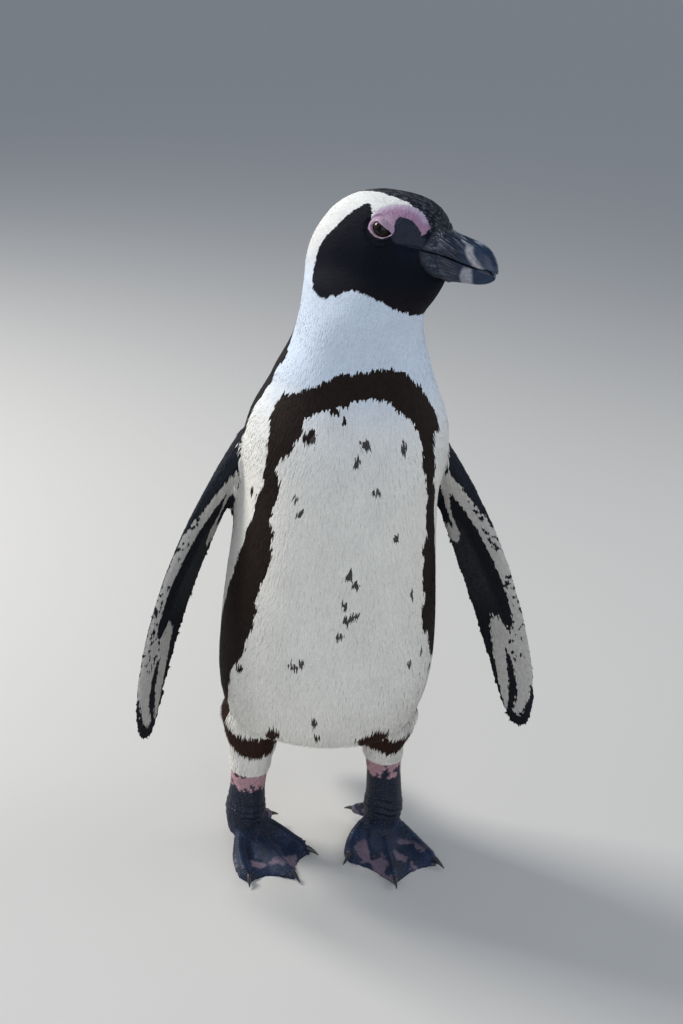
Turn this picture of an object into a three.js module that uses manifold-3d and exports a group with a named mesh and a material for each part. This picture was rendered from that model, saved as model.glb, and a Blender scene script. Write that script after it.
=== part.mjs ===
// African penguin (Spheniscus demersus), adult, standing with its flippers held out
// and its head turned to its own left. Millimetres, +Z up.
//
// In the working frame the belly faces -Y, the bird's left is +X and the floor is z = 0.
// The flesh is lofted: the trunk and neck from level sections, the head from sections
// across its own forward axis, each limb from sections along its own line. Pieces that
// grow out of one another are cut apart with a thin gap.

import * as THREE from 'three';
import { mergeVertices } from 'three/addons/utils/BufferGeometryUtils.js';
import Module from 'manifold-3d';

const wasm = await Module();
wasm.setup();

// ---------------------------------------------------------------- driving dimensions

const GAP = 0.3; // clearance between neighbouring pieces

const HEAD_YAW = 52; // degrees the head is turned to the bird's left
const HEAD_X = 0; // the head's upright axis
const HEAD_Y = -8;
const HEAD_CUT_Z = 456; // height of the neck's top on the head's axis
const HEAD_CUT_TILT = 9; // degrees: the cut rises towards the nape
const NECK_CUT_Z = 408; // height where the trunk gives way to the neck

const EYE_RADIUS = 8.3;
const EYE_FORWARD = 16.4;
const EYE_LATERAL = 20.6;
const EYE_Z = 521;
const LID_RADIUS = 6.7; // centre line of the fleshy ring round the eye
const LID_THICKNESS = 1.25;

const BODY_SIDES = 30; // facets round the trunk, neck and head
const LIMB_SIDES = 14; // facets round legs, flippers and tail

const ANKLE_CUT_Z = 25; // where the leg ends and the foot begins
const TOE_COUNT = 3;
const WEB_THICKNESS = 3.2;
const TOE_HEIGHT = 11.5;
const TOE_HALF_WIDTH = 7;
const INNER_SPREAD = 9.5; // how far the flanks of the foot swell out at half a toe's length
const OUTER_SPREAD = 6.5;
const INSTEP_HEIGHT = 15;
const INSTEP_LENGTH = 42;

const FLIPPER_LENGTH = 238; // from where it leaves the body to its tip
const FLIPPER_CHORD = 54;
const FLIPPER_THICKNESS = 9.5;

// Level sections of the trunk and neck, from the vent up to the inside of the head:
// height, centre x, centre y, half width, half depth, degrees turned to the left.
const BODY_SECTIONS = [
  [76, 0, 63, 12, 8, 0],
  [84, 0, 54, 34, 20, 0],
  [100, -2, 36, 54, 41, 0],
  [114, -3, 18, 66, 59, 0],
  [126, -4.5, 7, 74, 70, 0],
  [145, -5, 2, 82, 76, 0],
  [180, -4.5, -2.5, 86.5, 79.5, 0],
  [215, -5.5, -5, 85.5, 80, 0],
  [250, -6.5, -5, 82.5, 80, 0],
  [290, -7.5, -4.5, 79, 78, 0],
  [330, -7.5, -3.5, 76, 74, 0],
  [360, -5, -2.5, 79.5, 68, 0],
  [380, -3.75, -1, 75.75, 60, 0],
  [394, -2.75, -0.5, 68.75, 53.5, 0],
  [409, -3.75, 0, 61.25, 49, 2],
  [430, -2.25, 0, 52.25, 45.5, 8],
  [450, -3.5, -3, 46, 45.5, 28],
  [466, -4, -6, 41, 48, 44],
  [482, -2, -8, 36, 48, 51],
  [505, 0, -8, 24, 36, 52],
];

// Upright sections of the head across its forward axis, from the nape to the bill:
// distance forward, top height, bottom height, half width.
const HEAD_SECTIONS = [
  [-52, 486, 470, 5],
  [-49, 501, 460, 14],
  [-42, 517, 452, 22],
  [-30, 531.5, 448, 27.5],
  [-12, 542, 446, 31.5],
  [8, 545.5, 446, 32.5],
  [24, 545.6, 449, 30.5],
  [36, 543.5, 455, 26],
  [46, 539.3, 465, 20.5],
  [51.5, 534.2, 474.5, 16.8],
  [55, 528.6, 482, 13],
  [58, 521.5, 490, 8.5],
];

// The upper mandible along the same axis: distance forward, culmen height, height of
// its cutting edge, half width. Its last rows draw down into the blunt hook.
const UPPER_BILL = [
  [42, 527.5, 511.6, 14.5],
  [50, 526.8, 511, 13.6],
  [57, 525.6, 509.7, 12.6],
  [66, 523.8, 508, 11],
  [75, 522.3, 505.8, 9.6],
  [82, 520.9, 504.7, 8.3],
  [87, 518.6, 504.5, 7],
  [91, 515.4, 504.4, 5.4],
  [94, 511.2, 503.2, 3.8],
  [95.8, 507.6, 501.4, 2.4],
  [96.4, 505, 501, 1.3],
];

// The lower mandible: distance forward, rim height, keel height, half width.
const LOWER_BILL = [
  [42, 511.2, 492, 13.4],
  [50, 510.6, 489, 12.6],
  [57, 509.3, 488.8, 11.7],
  [66, 507.6, 490.4, 10.2],
  [75, 505.4, 491.2, 8.8],
  [82, 504.3, 491.8, 7.5],
  [87, 504.1, 492.8, 6.2],
  [91, 503.6, 494.4, 4.6],
  [93.6, 501.6, 496.2, 3],
  [94.9, 500.2, 497.6, 1.4],
];

// The flipper's sections from inside the shoulder to the tip: share of the length,
// share of the chord, share of the thickness, backward sweep.
const FLIPPER_SECTIONS = [
  [-0.16, 0.5, 2.6, -2],
  [-0.06, 0.62, 2.55, 0],
  [0.06, 0.76, 1.9, 0],
  [0.2, 0.93, 1.35, 1],
  [0.38, 1, 1, 4.5],
  [0.6, 0.97, 0.82, 10.5],
  [0.78, 0.87, 0.68, 17],
  [0.9, 0.72, 0.56, 22.5],
  [0.96, 0.55, 0.46, 25.5],
  [0.985, 0.4, 0.38, 26.5],
  [1, 0.2, 0.26, 27],
];

// Each side's own pose. Angles are degrees: the toes' fan is measured from straight
// ahead, positive outward, and listed from the inner toe to the outer one; lean is how
// far the flipper hangs out from the body, trail how far it slopes back, and twist
// turns its leading edge outward. Bow is how far its middle stands out from a straight
// line, in millimetres.
const SIDES = {
  left: {
    sign: 1,
    ankle: [59.5, 8],
    thigh: [51, 10],
    sockZ: 80,
    toes: [-36, 1, 39],
    toeLengths: [57, 77, 66],
    hallux: -130,
    wingRoot: [69.5, 2, 338],
    lean: 27.4,
    trail: -8,
    twist: 48,
    bow: 4.6,
  },
  right: {
    sign: -1,
    ankle: [-57, 3],
    thigh: [-55.5, 6],
    sockZ: 70,
    toes: [-61, -30, 0],
    toeLengths: [62, 75, 70],
    hallux: -120,
    wingRoot: [-85.4, 2, 330.3],
    lean: 18,
    trail: -8,
    twist: 39,
    bow: 10.4,
  },
};

const HEEL_BACK = 6; // the toes' lines meet this far behind the shank's middle
const CLAW_LENGTH = 11;
const CLAW_RADIUS = 2.7;
const CLAW_ROOT = 4; // how much of a claw lies inside its toe
const CLAW_Z = 5.2;
const HALLUX_LENGTH = 21; // the small hind toe
const HALLUX_START = 6;
const HALLUX_BACK = 4;
const HALLUX_Z = 17;

const TAIL_BASE = [-1, 44, 112];
const TAIL_LENGTH = 96;
const TAIL_DROP = 34; // degrees below the level
const TAIL_HALF_WIDTH = 29;
const TAIL_HALF_THICKNESS = 24; // inside the rump; the coverts taper to the quills
const TAIL_TIP_HALF_THICKNESS = 1.3;

const COLOURS = {
  black: 0x17161a,
  white: 0xe9e7e2,
  bill: 0x1c1e24,
  eye: 0x150d0a,
  foot: 0x24262b,
  claw: 0x101012,
};

// ------------------------------------------------------------------ helper functions

const radians = THREE.MathUtils.degToRad;
const lerp = THREE.MathUtils.lerp;

// Smooth interpolation through rows sorted by their first number. Slopes are limited,
// so that nothing overshoots between two rows.
function table(rows) {
  const last = rows.length - 1;
  const secant = (i, k) => (rows[i + 1][k] - rows[i][k]) / (rows[i + 1][0] - rows[i][0]);
  const slope = (i, k) => {
    if (i === 0) return secant(0, k);
    if (i === last) return secant(last - 1, k);
    const before = secant(i - 1, k);
    const after = secant(i, k);
    return before * after <= 0 ? 0 : (2 * before * after) / (before + after);
  };
  return (at) => {
    const x = THREE.MathUtils.clamp(at, rows[0][0], rows[last][0]);
    let i = 0;
    while (i < last - 1 && x > rows[i + 1][0]) i += 1;
    const width = rows[i + 1][0] - rows[i][0];
    const t = (x - rows[i][0]) / width;
    return rows[i].map((value, k) => {
      const m0 = slope(i, k) * width;
      const m1 = slope(i + 1, k) * width;
      const end = rows[i + 1][k];
      const a = 2 * value - 2 * end + m0 + m1;
      const b = -3 * value + 3 * end - 2 * m0 - m1;
      return ((a * t + b) * t + m0) * t + value;
    });
  };
}

// A point at an angle on a rounded outline of the given reaches. A power of 2 is an
// ellipse, and more is squarer.
function outline(angle, sideways, ahead, power = 2) {
  const c = Math.cos(angle);
  const s = Math.sin(angle);
  const shape = (value) => Math.sign(value) * Math.abs(value) ** (2 / power);
  return [sideways * shape(c), ahead * shape(s)];
}

// A geometry from points and triangles.
function facets(points, faces) {
  const positions = points.flatMap((point) => point.toArray());
  const geometry = new THREE.BufferGeometry();
  geometry.setAttribute('position', new THREE.Float32BufferAttribute(positions, 3));
  geometry.setIndex(faces);
  return geometry;
}

// A closed geometry over rings of equally many points, its ends closed by fans.
function loft(rings) {
  const sides = rings[0].length;
  const points = rings.flat();
  const faces = [];
  for (let r = 0; r + 1 < rings.length; r += 1) {
    for (let k = 0; k < sides; k += 1) {
      const a = r * sides + k;
      const b = r * sides + ((k + 1) % sides);
      faces.push(a, b, b + sides, a, b + sides, a + sides);
    }
  }
  const close = (ring, start, reverse) => {
    const middle = new THREE.Vector3();
    ring.forEach((point) => middle.addScaledVector(point, 1 / sides));
    points.push(middle);
    const centre = points.length - 1;
    for (let k = 0; k < sides; k += 1) {
      const a = start + k;
      const b = start + ((k + 1) % sides);
      if (reverse) faces.push(centre, b, a);
      else faces.push(centre, a, b);
    }
  };
  close(rings[0], 0, true);
  close(rings[rings.length - 1], (rings.length - 1) * sides, false);
  return facets(points, faces);
}

// A closed geometry as a solid whose faces point outward.
function solid(geometry) {
  const bare = geometry.clone();
  bare.deleteAttribute('normal');
  bare.deleteAttribute('uv');
  const merged = mergeVertices(bare, 1e-4);
  const vertProperties = new Float32Array(merged.attributes.position.array);
  const triVerts = new Uint32Array(merged.index.array);
  const corner = (i) => new THREE.Vector3().fromArray(vertProperties, 3 * triVerts[i]);
  let volume = 0;
  for (let i = 0; i < triVerts.length; i += 3) {
    volume += corner(i).dot(corner(i + 1).cross(corner(i + 2)));
  }
  if (volume < 0) triVerts.reverse();
  return new wasm.Manifold(new wasm.Mesh({ numProp: 3, vertProperties, triVerts }));
}

// A solid back as a geometry to draw.
function geometryOf(shape) {
  const mesh = shape.getMesh();
  const positions = new Float32Array(mesh.numVert * 3);
  for (let v = 0; v < mesh.numVert; v += 1) {
    for (let k = 0; k < 3; k += 1) {
      positions[3 * v + k] = mesh.vertProperties[mesh.numProp * v + k];
    }
  }
  const geometry = new THREE.BufferGeometry();
  geometry.setAttribute('position', new THREE.BufferAttribute(positions, 3));
  geometry.setIndex(new THREE.BufferAttribute(new Uint32Array(mesh.triVerts), 1));
  geometry.computeVertexNormals();
  return geometry;
}

const evenly = (count, make) => Array.from({ length: count }, (_, i) => make(i));
const angles = (sides) => evenly(sides, (i) => (2 * Math.PI * i) / sides);

// ---------------------------------------------------------------- trunk, neck, head

const bodyAt = table(BODY_SECTIONS);
const headAt = table(HEAD_SECTIONS);

const headForward = new THREE.Vector3(Math.sin(radians(HEAD_YAW)), -Math.cos(radians(HEAD_YAW)), 0);
const headLeft = new THREE.Vector3(Math.cos(radians(HEAD_YAW)), Math.sin(radians(HEAD_YAW)), 0);

// A point of the head, from its distance forward, its distance left and its height.
function headPoint(forward, left, z) {
  return new THREE.Vector3(HEAD_X, HEAD_Y, z)
    .addScaledVector(headForward, forward)
    .addScaledVector(headLeft, left);
}

// Heights of the level sections: close together where the underside rounds off.
const BODY_HEIGHTS = [
  76, 80, 85, 93, 101, 109, 117, 126, 137, 152, 172, 198, 228, 260, 294, 326, 350, 368, 383,
  397, 412, 430, 446, 460, 476, 492, 505,
];

function bodyLoft(grow) {
  const ring = (z) => {
    const [, cx, cy, halfWidth, halfDepth, yaw] = bodyAt(z);
    const turn = radians(yaw);
    return angles(BODY_SIDES).map((angle) => {
      const [side, ahead] = outline(angle, halfWidth + grow, halfDepth + grow, 2.15);
      const x = cx + side * Math.cos(turn) + ahead * Math.sin(turn);
      const y = cy + side * Math.sin(turn) - ahead * Math.cos(turn);
      const low = z === BODY_HEIGHTS[0] ? grow : 0;
      return new THREE.Vector3(x, y, z - low);
    });
  };
  return solid(loft(BODY_HEIGHTS.map(ring)));
}

function headLoft(grow) {
  const steps = 18;
  const first = HEAD_SECTIONS[0][0];
  const last = HEAD_SECTIONS[HEAD_SECTIONS.length - 1][0];
  const ring = (i) => {
    // A cosine spacing packs the sections at the nape and at the bill.
    const forward = lerp(first, last, 0.5 - 0.5 * Math.cos((Math.PI * i) / steps));
    const [, top, bottom, halfWidth] = headAt(forward);
    const middle = lerp(bottom, top, 0.5);
    const end = i === 0 ? -grow : i === steps ? grow : 0;
    return angles(BODY_SIDES).map((angle) => {
      const [side, up] = outline(angle, halfWidth + grow, (top - bottom) / 2 + grow, 2.2);
      return headPoint(forward + end, side, middle + up);
    });
  };
  return solid(loft(evenly(steps + 1, ring)));
}

function ball(centre, radius) {
  const sphere = new THREE.SphereGeometry(radius, 14, 10);
  sphere.translate(centre.x, centre.y, centre.z);
  return solid(sphere);
}

const eyeCentre = (sign) => headPoint(EYE_FORWARD, sign * EYE_LATERAL, EYE_Z);

// The fleshy ring of lid round an eye, facing outward and a little forward and up.
function lidRing(sign) {
  const look = headLeft.clone().multiplyScalar(sign);
  look.addScaledVector(headForward, 0.22);
  look.z = 0.12;
  look.normalize();
  const ring = new THREE.TorusGeometry(LID_RADIUS, LID_THICKNESS, 5, 16);
  const turn = new THREE.Quaternion().setFromUnitVectors(new THREE.Vector3(0, 0, 1), look);
  const reach = Math.sqrt(EYE_RADIUS ** 2 - LID_RADIUS ** 2);
  const centre = eyeCentre(sign).addScaledVector(look, reach);
  ring.applyQuaternion(turn);
  ring.translate(centre.x, centre.y, centre.z);
  return solid(ring);
}

// --------------------------------------------------------------------------- the bill

// One mandible: rounded sections between its flat inner face and its ridge or keel.
function mandible(rows, sides, power) {
  const at = table(rows);
  const first = rows[0][0];
  const last = rows[rows.length - 1][0];
  const steps = 13;
  const ring = (i) => {
    // The sections crowd together towards the blunt tip.
    const forward = lerp(first, last, 1 - (1 - i / steps) ** 1.5);
    const [, a, b, halfWidth] = at(forward);
    const upper = rows === UPPER_BILL;
    const inner = upper ? b : a;
    const rise = upper ? a - b : b - a;
    return evenly(sides + 1, (k) => {
      const [side, up] = outline((Math.PI * k) / sides, halfWidth, rise, power);
      return headPoint(forward, side, inner + up);
    });
  };
  return solid(loft(evenly(steps + 1, ring)));
}

// --------------------------------------------------------------------------- flippers

// One flipper, along a line from the shoulder down to the tip. Its leading edge is
// thick and its trailing edge thin, and it bends back towards the tip.
function flipper({ sign, wingRoot, lean, trail, twist, bow }) {
  const slope = radians(lean);
  const down = new THREE.Vector3(sign * Math.sin(slope), Math.sin(radians(trail)), -Math.cos(slope));
  down.normalize();
  const outward = new THREE.Vector3(sign * Math.cos(slope), 0, Math.sin(slope));
  const turn = radians(twist);
  const lead = new THREE.Vector3(sign * Math.sin(turn), -Math.cos(turn), 0);
  lead.addScaledVector(down, -lead.dot(down)).normalize();
  const face = new THREE.Vector3().crossVectors(lead, down).normalize();
  const root = new THREE.Vector3(...wingRoot);
  const along = table(FLIPPER_SECTIONS);
  const first = FLIPPER_SECTIONS[0][0];
  const steps = 18;
  const ring = (i) => {
    // The sections crowd together towards the rounded tip.
    const share = lerp(1, first, (1 - i / steps) ** 1.3);
    const [, chordShare, thickShare, sweep] = along(share);
    const chord = FLIPPER_CHORD * chordShare;
    const thick = (FLIPPER_THICKNESS * thickShare) / 2;
    const out = bow * 4 * share * (1 - share);
    return angles(LIMB_SIDES).map((angle) => {
      const across = Math.cos(angle);
      // Widest a third of the way back from the leading edge, thin at the trailing one.
      const body = 0.3 + 0.7 * ((across + 1) / 2) ** 0.75;
      return root
        .clone()
        .addScaledVector(down, FLIPPER_LENGTH * share)
        .addScaledVector(outward, out)
        .addScaledVector(lead, (chord * across) / 2 - sweep)
        .addScaledVector(face, Math.sin(angle) * thick * body);
    });
  };
  return solid(loft(evenly(steps + 1, ring)));
}

// ----------------------------------------------------------------------- legs and feet

// Heights of the leg's sections with their half width and half depth: a feathered
// thigh, a short sock of white feathers, and the bare shank.
function legSections(sockZ) {
  return [
    [8, 12, 13],
    [20, 15, 16.5],
    [ANKLE_CUT_Z + 7, 16.6, 17.5],
    [ANKLE_CUT_Z + 16, 15.2, 16.4],
    [sockZ - 20, 14.2, 15.5],
    [sockZ - 3, 15, 16.5],
    [sockZ, 17.5, 19],
    [sockZ + 12, 19.5, 24],
    [108, 27, 32],
    [122, 29, 36],
    [138, 24, 30],
    [152, 10, 14],
  ];
}

function leg({ ankle, thigh, sockZ }) {
  const at = table(legSections(sockZ));
  const top = 152;
  const heights = [8, 16, ANKLE_CUT_Z, 33, 42, sockZ - 18, sockZ - 4, sockZ - 1.5, sockZ];
  heights.push(sockZ + 5);
  heights.push(sockZ + 12, 102, 109, 116, 124, 134, 144, top);
  return solid(
    loft(
      heights.map((z) => {
        const [, halfWidth, halfDepth] = at(z);
        const t = THREE.MathUtils.smoothstep(z, ANKLE_CUT_Z, 120);
        const cx = lerp(ankle[0], thigh[0], t);
        const cy = lerp(ankle[1], thigh[1], t);
        return angles(LIMB_SIDES).map((angle) => {
          const [side, ahead] = outline(angle, halfWidth, halfDepth);
          return new THREE.Vector3(cx + side, cy - ahead, z);
        });
      }),
    ),
  );
}

const heading = (degrees, sign) =>
  new THREE.Vector3(sign * Math.sin(radians(degrees)), -Math.cos(radians(degrees)), 0);

// The webbed foot: a flat sole, three toes ridged along its top and a web between them
// whose edge curves in. Built on a fan of spokes from the ankle, bowed at its flanks.
function webbedFoot({ sign, ankle, toes, toeLengths }) {
  const between = 6; // spokes from one toe to the next
  const margin = 7; // degrees of toe flank outside the outer toes
  const rounds = 6;
  const spokes = [{ degrees: toes[0] - margin, reach: toeLengths[0] * 0.9 }];
  for (let toe = 0; toe + 1 < TOE_COUNT; toe += 1) {
    for (let k = 0; k < between; k += 1) {
      const t = k / between;
      const scallop = 0.13 * Math.sin(Math.PI * t) ** 0.8;
      spokes.push({
        degrees: lerp(toes[toe], toes[toe + 1], t),
        reach: lerp(toeLengths[toe], toeLengths[toe + 1], t) * (1 - scallop),
      });
    }
  }
  spokes.push({ degrees: toes[2], reach: toeLengths[2] });
  spokes.push({ degrees: toes[2] + margin, reach: toeLengths[2] * 0.9 });
  const heel = new THREE.Vector3(ankle[0], ankle[1] + HEEL_BACK, 0);

  const height = (degrees, radius, reach) => {
    const nearest = Math.min(...toes.map((toe) => Math.abs(toe - degrees)));
    const aside = radius * Math.sin(radians(Math.min(nearest, 90)));
    const out = radius / reach;
    const ridge = Math.max(0, 1 - (aside / TOE_HALF_WIDTH) ** 2);
    const toeTop = lerp(TOE_HEIGHT, TOE_HEIGHT * 0.72, out) - WEB_THICKNESS;
    const instep = INSTEP_HEIGHT * Math.max(0, 1 - radius / INSTEP_LENGTH) ** 1.3;
    return WEB_THICKNESS + toeTop * ridge ** 0.7 + instep;
  };

  // The toes' joints lie apart, so the inner and outer toes bow away from the middle one.
  const bowed = (degrees, u) => {
    const aside = degrees - toes[1];
    const inner = aside < 0;
    const share = inner ? aside / (toes[1] - toes[0]) : aside / (toes[2] - toes[1]);
    const swell = THREE.MathUtils.clamp(share, -1, 1) * (inner ? INNER_SPREAD : OUTER_SPREAD);
    return heading(degrees + 90, sign).multiplyScalar(4 * u * (1 - u) * swell);
  };

  const points = [heel.clone(), new THREE.Vector3(heel.x, heel.y, WEB_THICKNESS + 21)];
  spokes.forEach(({ degrees, reach }) => {
    for (let r = 1; r <= rounds; r += 1) {
      const u = (r / rounds) ** 0.85;
      const radius = reach * u;
      const spot = heel.clone().addScaledVector(heading(degrees, sign), radius);
      spot.add(bowed(degrees, u));
      const edge = r === rounds ? 0.45 : 1;
      points.push(spot.clone());
      points.push(spot.setZ(height(degrees, radius, reach) * edge));
    }
  });
  const low = (s, r) => (r === 0 ? 0 : 2 + (s * rounds + r - 1) * 2);
  const high = (s, r) => low(s, r) + 1;
  const faces = [];
  const quad = (a, b, c, d) => faces.push(a, b, c, a, c, d);
  for (let s = 0; s + 1 < spokes.length; s += 1) {
    faces.push(0, low(s, 1), low(s + 1, 1));
    faces.push(1, high(s + 1, 1), high(s, 1));
    for (let r = 1; r < rounds; r += 1) {
      quad(low(s, r), low(s, r + 1), low(s + 1, r + 1), low(s + 1, r));
      quad(high(s, r), high(s + 1, r), high(s + 1, r + 1), high(s, r + 1));
    }
    quad(low(s, rounds), high(s, rounds), high(s + 1, rounds), low(s + 1, rounds));
  }
  const end = spokes.length - 1;
  for (let r = 0; r < rounds; r += 1) {
    quad(low(0, r + 1), low(0, r), high(0, r), high(0, r + 1));
    quad(low(end, r), low(end, r + 1), high(end, r + 1), high(end, r));
  }
  return solid(facets(points, faces));
}

// The small hind toe, on the inner side of the ankle above the ground.
function hindToe({ sign, ankle, hallux }) {
  const out = heading(hallux, sign);
  const steps = 4;
  const ring = (i) => {
    const t = i / steps;
    const centre = new THREE.Vector3(ankle[0], ankle[1] + HALLUX_BACK, HALLUX_Z - 5 * t * t);
    centre.addScaledVector(out, HALLUX_START + HALLUX_LENGTH * t);
    const radius = lerp(6.8, 3.9, t * t);
    const across = new THREE.Vector3(-out.y, out.x, 0);
    return angles(8).map((angle) =>
      centre
        .clone()
        .addScaledVector(across, radius * Math.cos(angle))
        .add(new THREE.Vector3(0, 0, radius * 1.05 * Math.sin(angle))),
    );
  };
  return solid(loft(evenly(steps + 1, ring)));
}

// A claw: a cone bent downward, its root inside the toe.
function claw({ start, out, bend }, grow) {
  const steps = 4;
  const across = new THREE.Vector3(-out.y, out.x, 0);
  const ring = (i) => {
    const t = i / steps;
    const reach = i === 0 ? -grow : CLAW_LENGTH * t + grow * t;
    const centre = start.clone().addScaledVector(out, reach);
    centre.z -= bend * t * t;
    const radius = lerp(CLAW_RADIUS, 0.5, t ** 1.3) + grow;
    return angles(6).map((angle) =>
      centre
        .clone()
        .addScaledVector(across, radius * 0.85 * Math.cos(angle))
        .add(new THREE.Vector3(0, 0, radius * Math.sin(angle))),
    );
  };
  return solid(loft(evenly(steps + 1, ring)));
}

// Where each toe's claw starts, and the way it points.
function clawPlaces({ sign, ankle, toes, toeLengths, hallux }) {
  const names = ['inner', 'middle', 'outer'];
  const places = toes.map((degrees, toe) => {
    const out = heading(degrees, sign);
    const start = new THREE.Vector3(ankle[0], ankle[1] + HEEL_BACK, CLAW_Z);
    start.addScaledVector(out, toeLengths[toe] - CLAW_ROOT);
    return { name: names[toe], start, out, bend: 3.6 };
  });
  const out = heading(hallux, sign);
  const start = new THREE.Vector3(ankle[0], ankle[1] + HALLUX_BACK, HALLUX_Z - 4.5);
  start.addScaledVector(out, HALLUX_START + HALLUX_LENGTH - 2);
  places.push({ name: 'hind', start, out, bend: 4 });
  return places;
}

// ------------------------------------------------------------------------------- tail

// A short stiff wedge of tail feathers under coverts that merge with the rump.
function tail() {
  const back = new THREE.Vector3(0, Math.cos(radians(TAIL_DROP)), -Math.sin(radians(TAIL_DROP)));
  const up = new THREE.Vector3(0, -back.z, back.y);
  const base = new THREE.Vector3(...TAIL_BASE);
  const steps = 8;
  const ring = (i) => {
    const t = i / steps;
    const halfWidth = TAIL_HALF_WIDTH * (1 - 0.4 * t) * Math.sqrt(1 - 0.82 * t ** 6);
    const halfThick = TAIL_TIP_HALF_THICKNESS + TAIL_HALF_THICKNESS * (1 - t) ** 1.15;
    return angles(LIMB_SIDES).map((angle) => {
      const [side, over] = outline(angle, halfWidth, halfThick);
      return base
        .clone()
        .addScaledVector(back, TAIL_LENGTH * t)
        .add(new THREE.Vector3(side, 0, 0))
        .addScaledVector(up, over);
    });
  };
  return solid(loft(evenly(steps + 1, ring)));
}

// --------------------------------------------------------------------------- assembly

const bird = new THREE.Group();

function add(name, shape, colour, roughness) {
  const material = new THREE.MeshStandardMaterial({ color: colour, roughness, metalness: 0 });
  const mesh = new THREE.Mesh(geometryOf(shape), material);
  mesh.name = name;
  bird.add(mesh);
}

const sides = Object.entries(SIDES);
const level = [0, 0, 1];
const above = (shape, normal, offset) => shape.trimByPlane(normal, offset + GAP / 2);
const below = (shape, normal, offset) =>
  shape.trimByPlane(normal.map((value) => -value), -offset + GAP / 2);

// Trunk, neck and head are one solid with sockets for the eyes, parted by two planes.
let core = bodyLoft(0).add(headLoft(0));
sides.forEach(([, { sign }]) => {
  core = core.add(lidRing(sign)).subtract(ball(eyeCentre(sign), EYE_RADIUS + GAP));
});
const headUp = new THREE.Vector3(0, 0, Math.cos(radians(HEAD_CUT_TILT)));
headUp.addScaledVector(headForward, Math.sin(radians(HEAD_CUT_TILT)));
const headCut = headUp.dot(new THREE.Vector3(HEAD_X, HEAD_Y, HEAD_CUT_Z));
const neckAndHead = above(core, level, NECK_CUT_Z);
add('head', above(neckAndHead, headUp.toArray(), headCut), COLOURS.black, 0.85);
add('neck', below(neckAndHead, headUp.toArray(), headCut), COLOURS.white, 0.85);
add('trunk', below(core, level, NECK_CUT_Z), COLOURS.white, 0.85);

// What grows out of the trunk or the head stops a gap short of it.
const trunkRoom = bodyLoft(GAP);
const headRoom = headLoft(GAP);
add('tail', tail().subtract(trunkRoom), COLOURS.black, 0.7);
add('bill_upper', mandible(UPPER_BILL, 12, 1.85).subtract(headRoom), COLOURS.bill, 0.35);
add('bill_lower', mandible(LOWER_BILL, 10, 1.9).subtract(headRoom), COLOURS.bill, 0.35);

sides.forEach(([name, side]) => {
  add(`eye_${name}`, ball(eyeCentre(side.sign), EYE_RADIUS), COLOURS.eye, 0.08);
  add(`flipper_${name}`, flipper(side).subtract(trunkRoom), COLOURS.black, 0.7);

  const limb = leg(side);
  add(`leg_${name}`, above(limb, level, ANKLE_CUT_Z).subtract(trunkRoom), COLOURS.white, 0.85);

  let foot = webbedFoot(side).add(below(limb, level, ANKLE_CUT_Z)).add(hindToe(side));
  clawPlaces(side).forEach((place) => {
    foot = foot.subtract(claw(place, GAP));
    add(`claw_${name}_${place.name}`, claw(place, 0), COLOURS.claw, 0.3);
  });
  add(`foot_${name}`, foot, COLOURS.foot, 0.55);
});

// The origin is the middle of the bird's bounding box, at the floor.
const box = new THREE.Box3().setFromObject(bird);
const middle = box.getCenter(new THREE.Vector3());
bird.position.set(-middle.x, -middle.y, -box.min.z);

export default bird;
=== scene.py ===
import math

import bmesh
import bpy
import numpy as np
from mathutils import Matrix, Vector
from mathutils.bvhtree import BVHTree


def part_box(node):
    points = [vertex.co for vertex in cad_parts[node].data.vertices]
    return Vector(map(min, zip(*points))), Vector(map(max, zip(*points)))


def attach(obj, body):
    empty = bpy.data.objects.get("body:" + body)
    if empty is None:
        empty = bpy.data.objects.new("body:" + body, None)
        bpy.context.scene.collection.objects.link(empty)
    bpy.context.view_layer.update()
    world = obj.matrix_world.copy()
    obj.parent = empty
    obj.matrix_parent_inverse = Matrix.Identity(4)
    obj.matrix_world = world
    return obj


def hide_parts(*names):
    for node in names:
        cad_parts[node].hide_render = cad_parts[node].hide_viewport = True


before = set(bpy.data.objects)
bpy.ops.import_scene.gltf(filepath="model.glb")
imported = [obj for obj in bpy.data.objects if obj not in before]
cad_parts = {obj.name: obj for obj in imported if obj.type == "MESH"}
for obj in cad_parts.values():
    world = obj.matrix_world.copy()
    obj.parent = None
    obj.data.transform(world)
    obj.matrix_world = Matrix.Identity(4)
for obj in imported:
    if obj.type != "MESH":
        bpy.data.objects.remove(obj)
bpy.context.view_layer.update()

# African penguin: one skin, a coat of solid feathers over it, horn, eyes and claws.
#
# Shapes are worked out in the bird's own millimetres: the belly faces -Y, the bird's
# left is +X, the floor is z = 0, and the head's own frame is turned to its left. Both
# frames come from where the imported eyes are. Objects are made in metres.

MM = 0.001

# ------------------------------------------------------------------------ the frames

EYE_RADIUS = 8.3
EYE_FORWARD = 16.4
EYE_LATERAL = 20.6
EYE_Z = 521.0
HEAD_Y = -8.0  # the head's upright axis in the bird's frame


def unit(vector):
    """The vector or rows of vectors at length one."""
    vector = np.asarray(vector, float)
    return vector / np.maximum(np.linalg.norm(vector, axis=-1, keepdims=True), 1e-12)


def middle_of(node):
    """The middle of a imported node's box, in metres."""
    low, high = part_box(node)
    return (np.array(low) + np.array(high)) / 2


eyes_middle = (middle_of("eye_left") + middle_of("eye_right")) / 2
across = middle_of("eye_left") - middle_of("eye_right")
LEFT = unit(np.array([across[0], across[1], 0.0]))
FORWARD = np.array([LEFT[1], -LEFT[0], 0.0])
UP = np.array([0.0, 0.0, 1.0])
ORIGIN = eyes_middle - FORWARD * EYE_FORWARD * MM - np.array([0.0, HEAD_Y, 0.0]) * MM
ORIGIN[2] = 0.0


def to_bird(points):
    """Metres in the row frame to the bird's millimetres."""
    return (np.asarray(points, float) - ORIGIN) / MM


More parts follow.
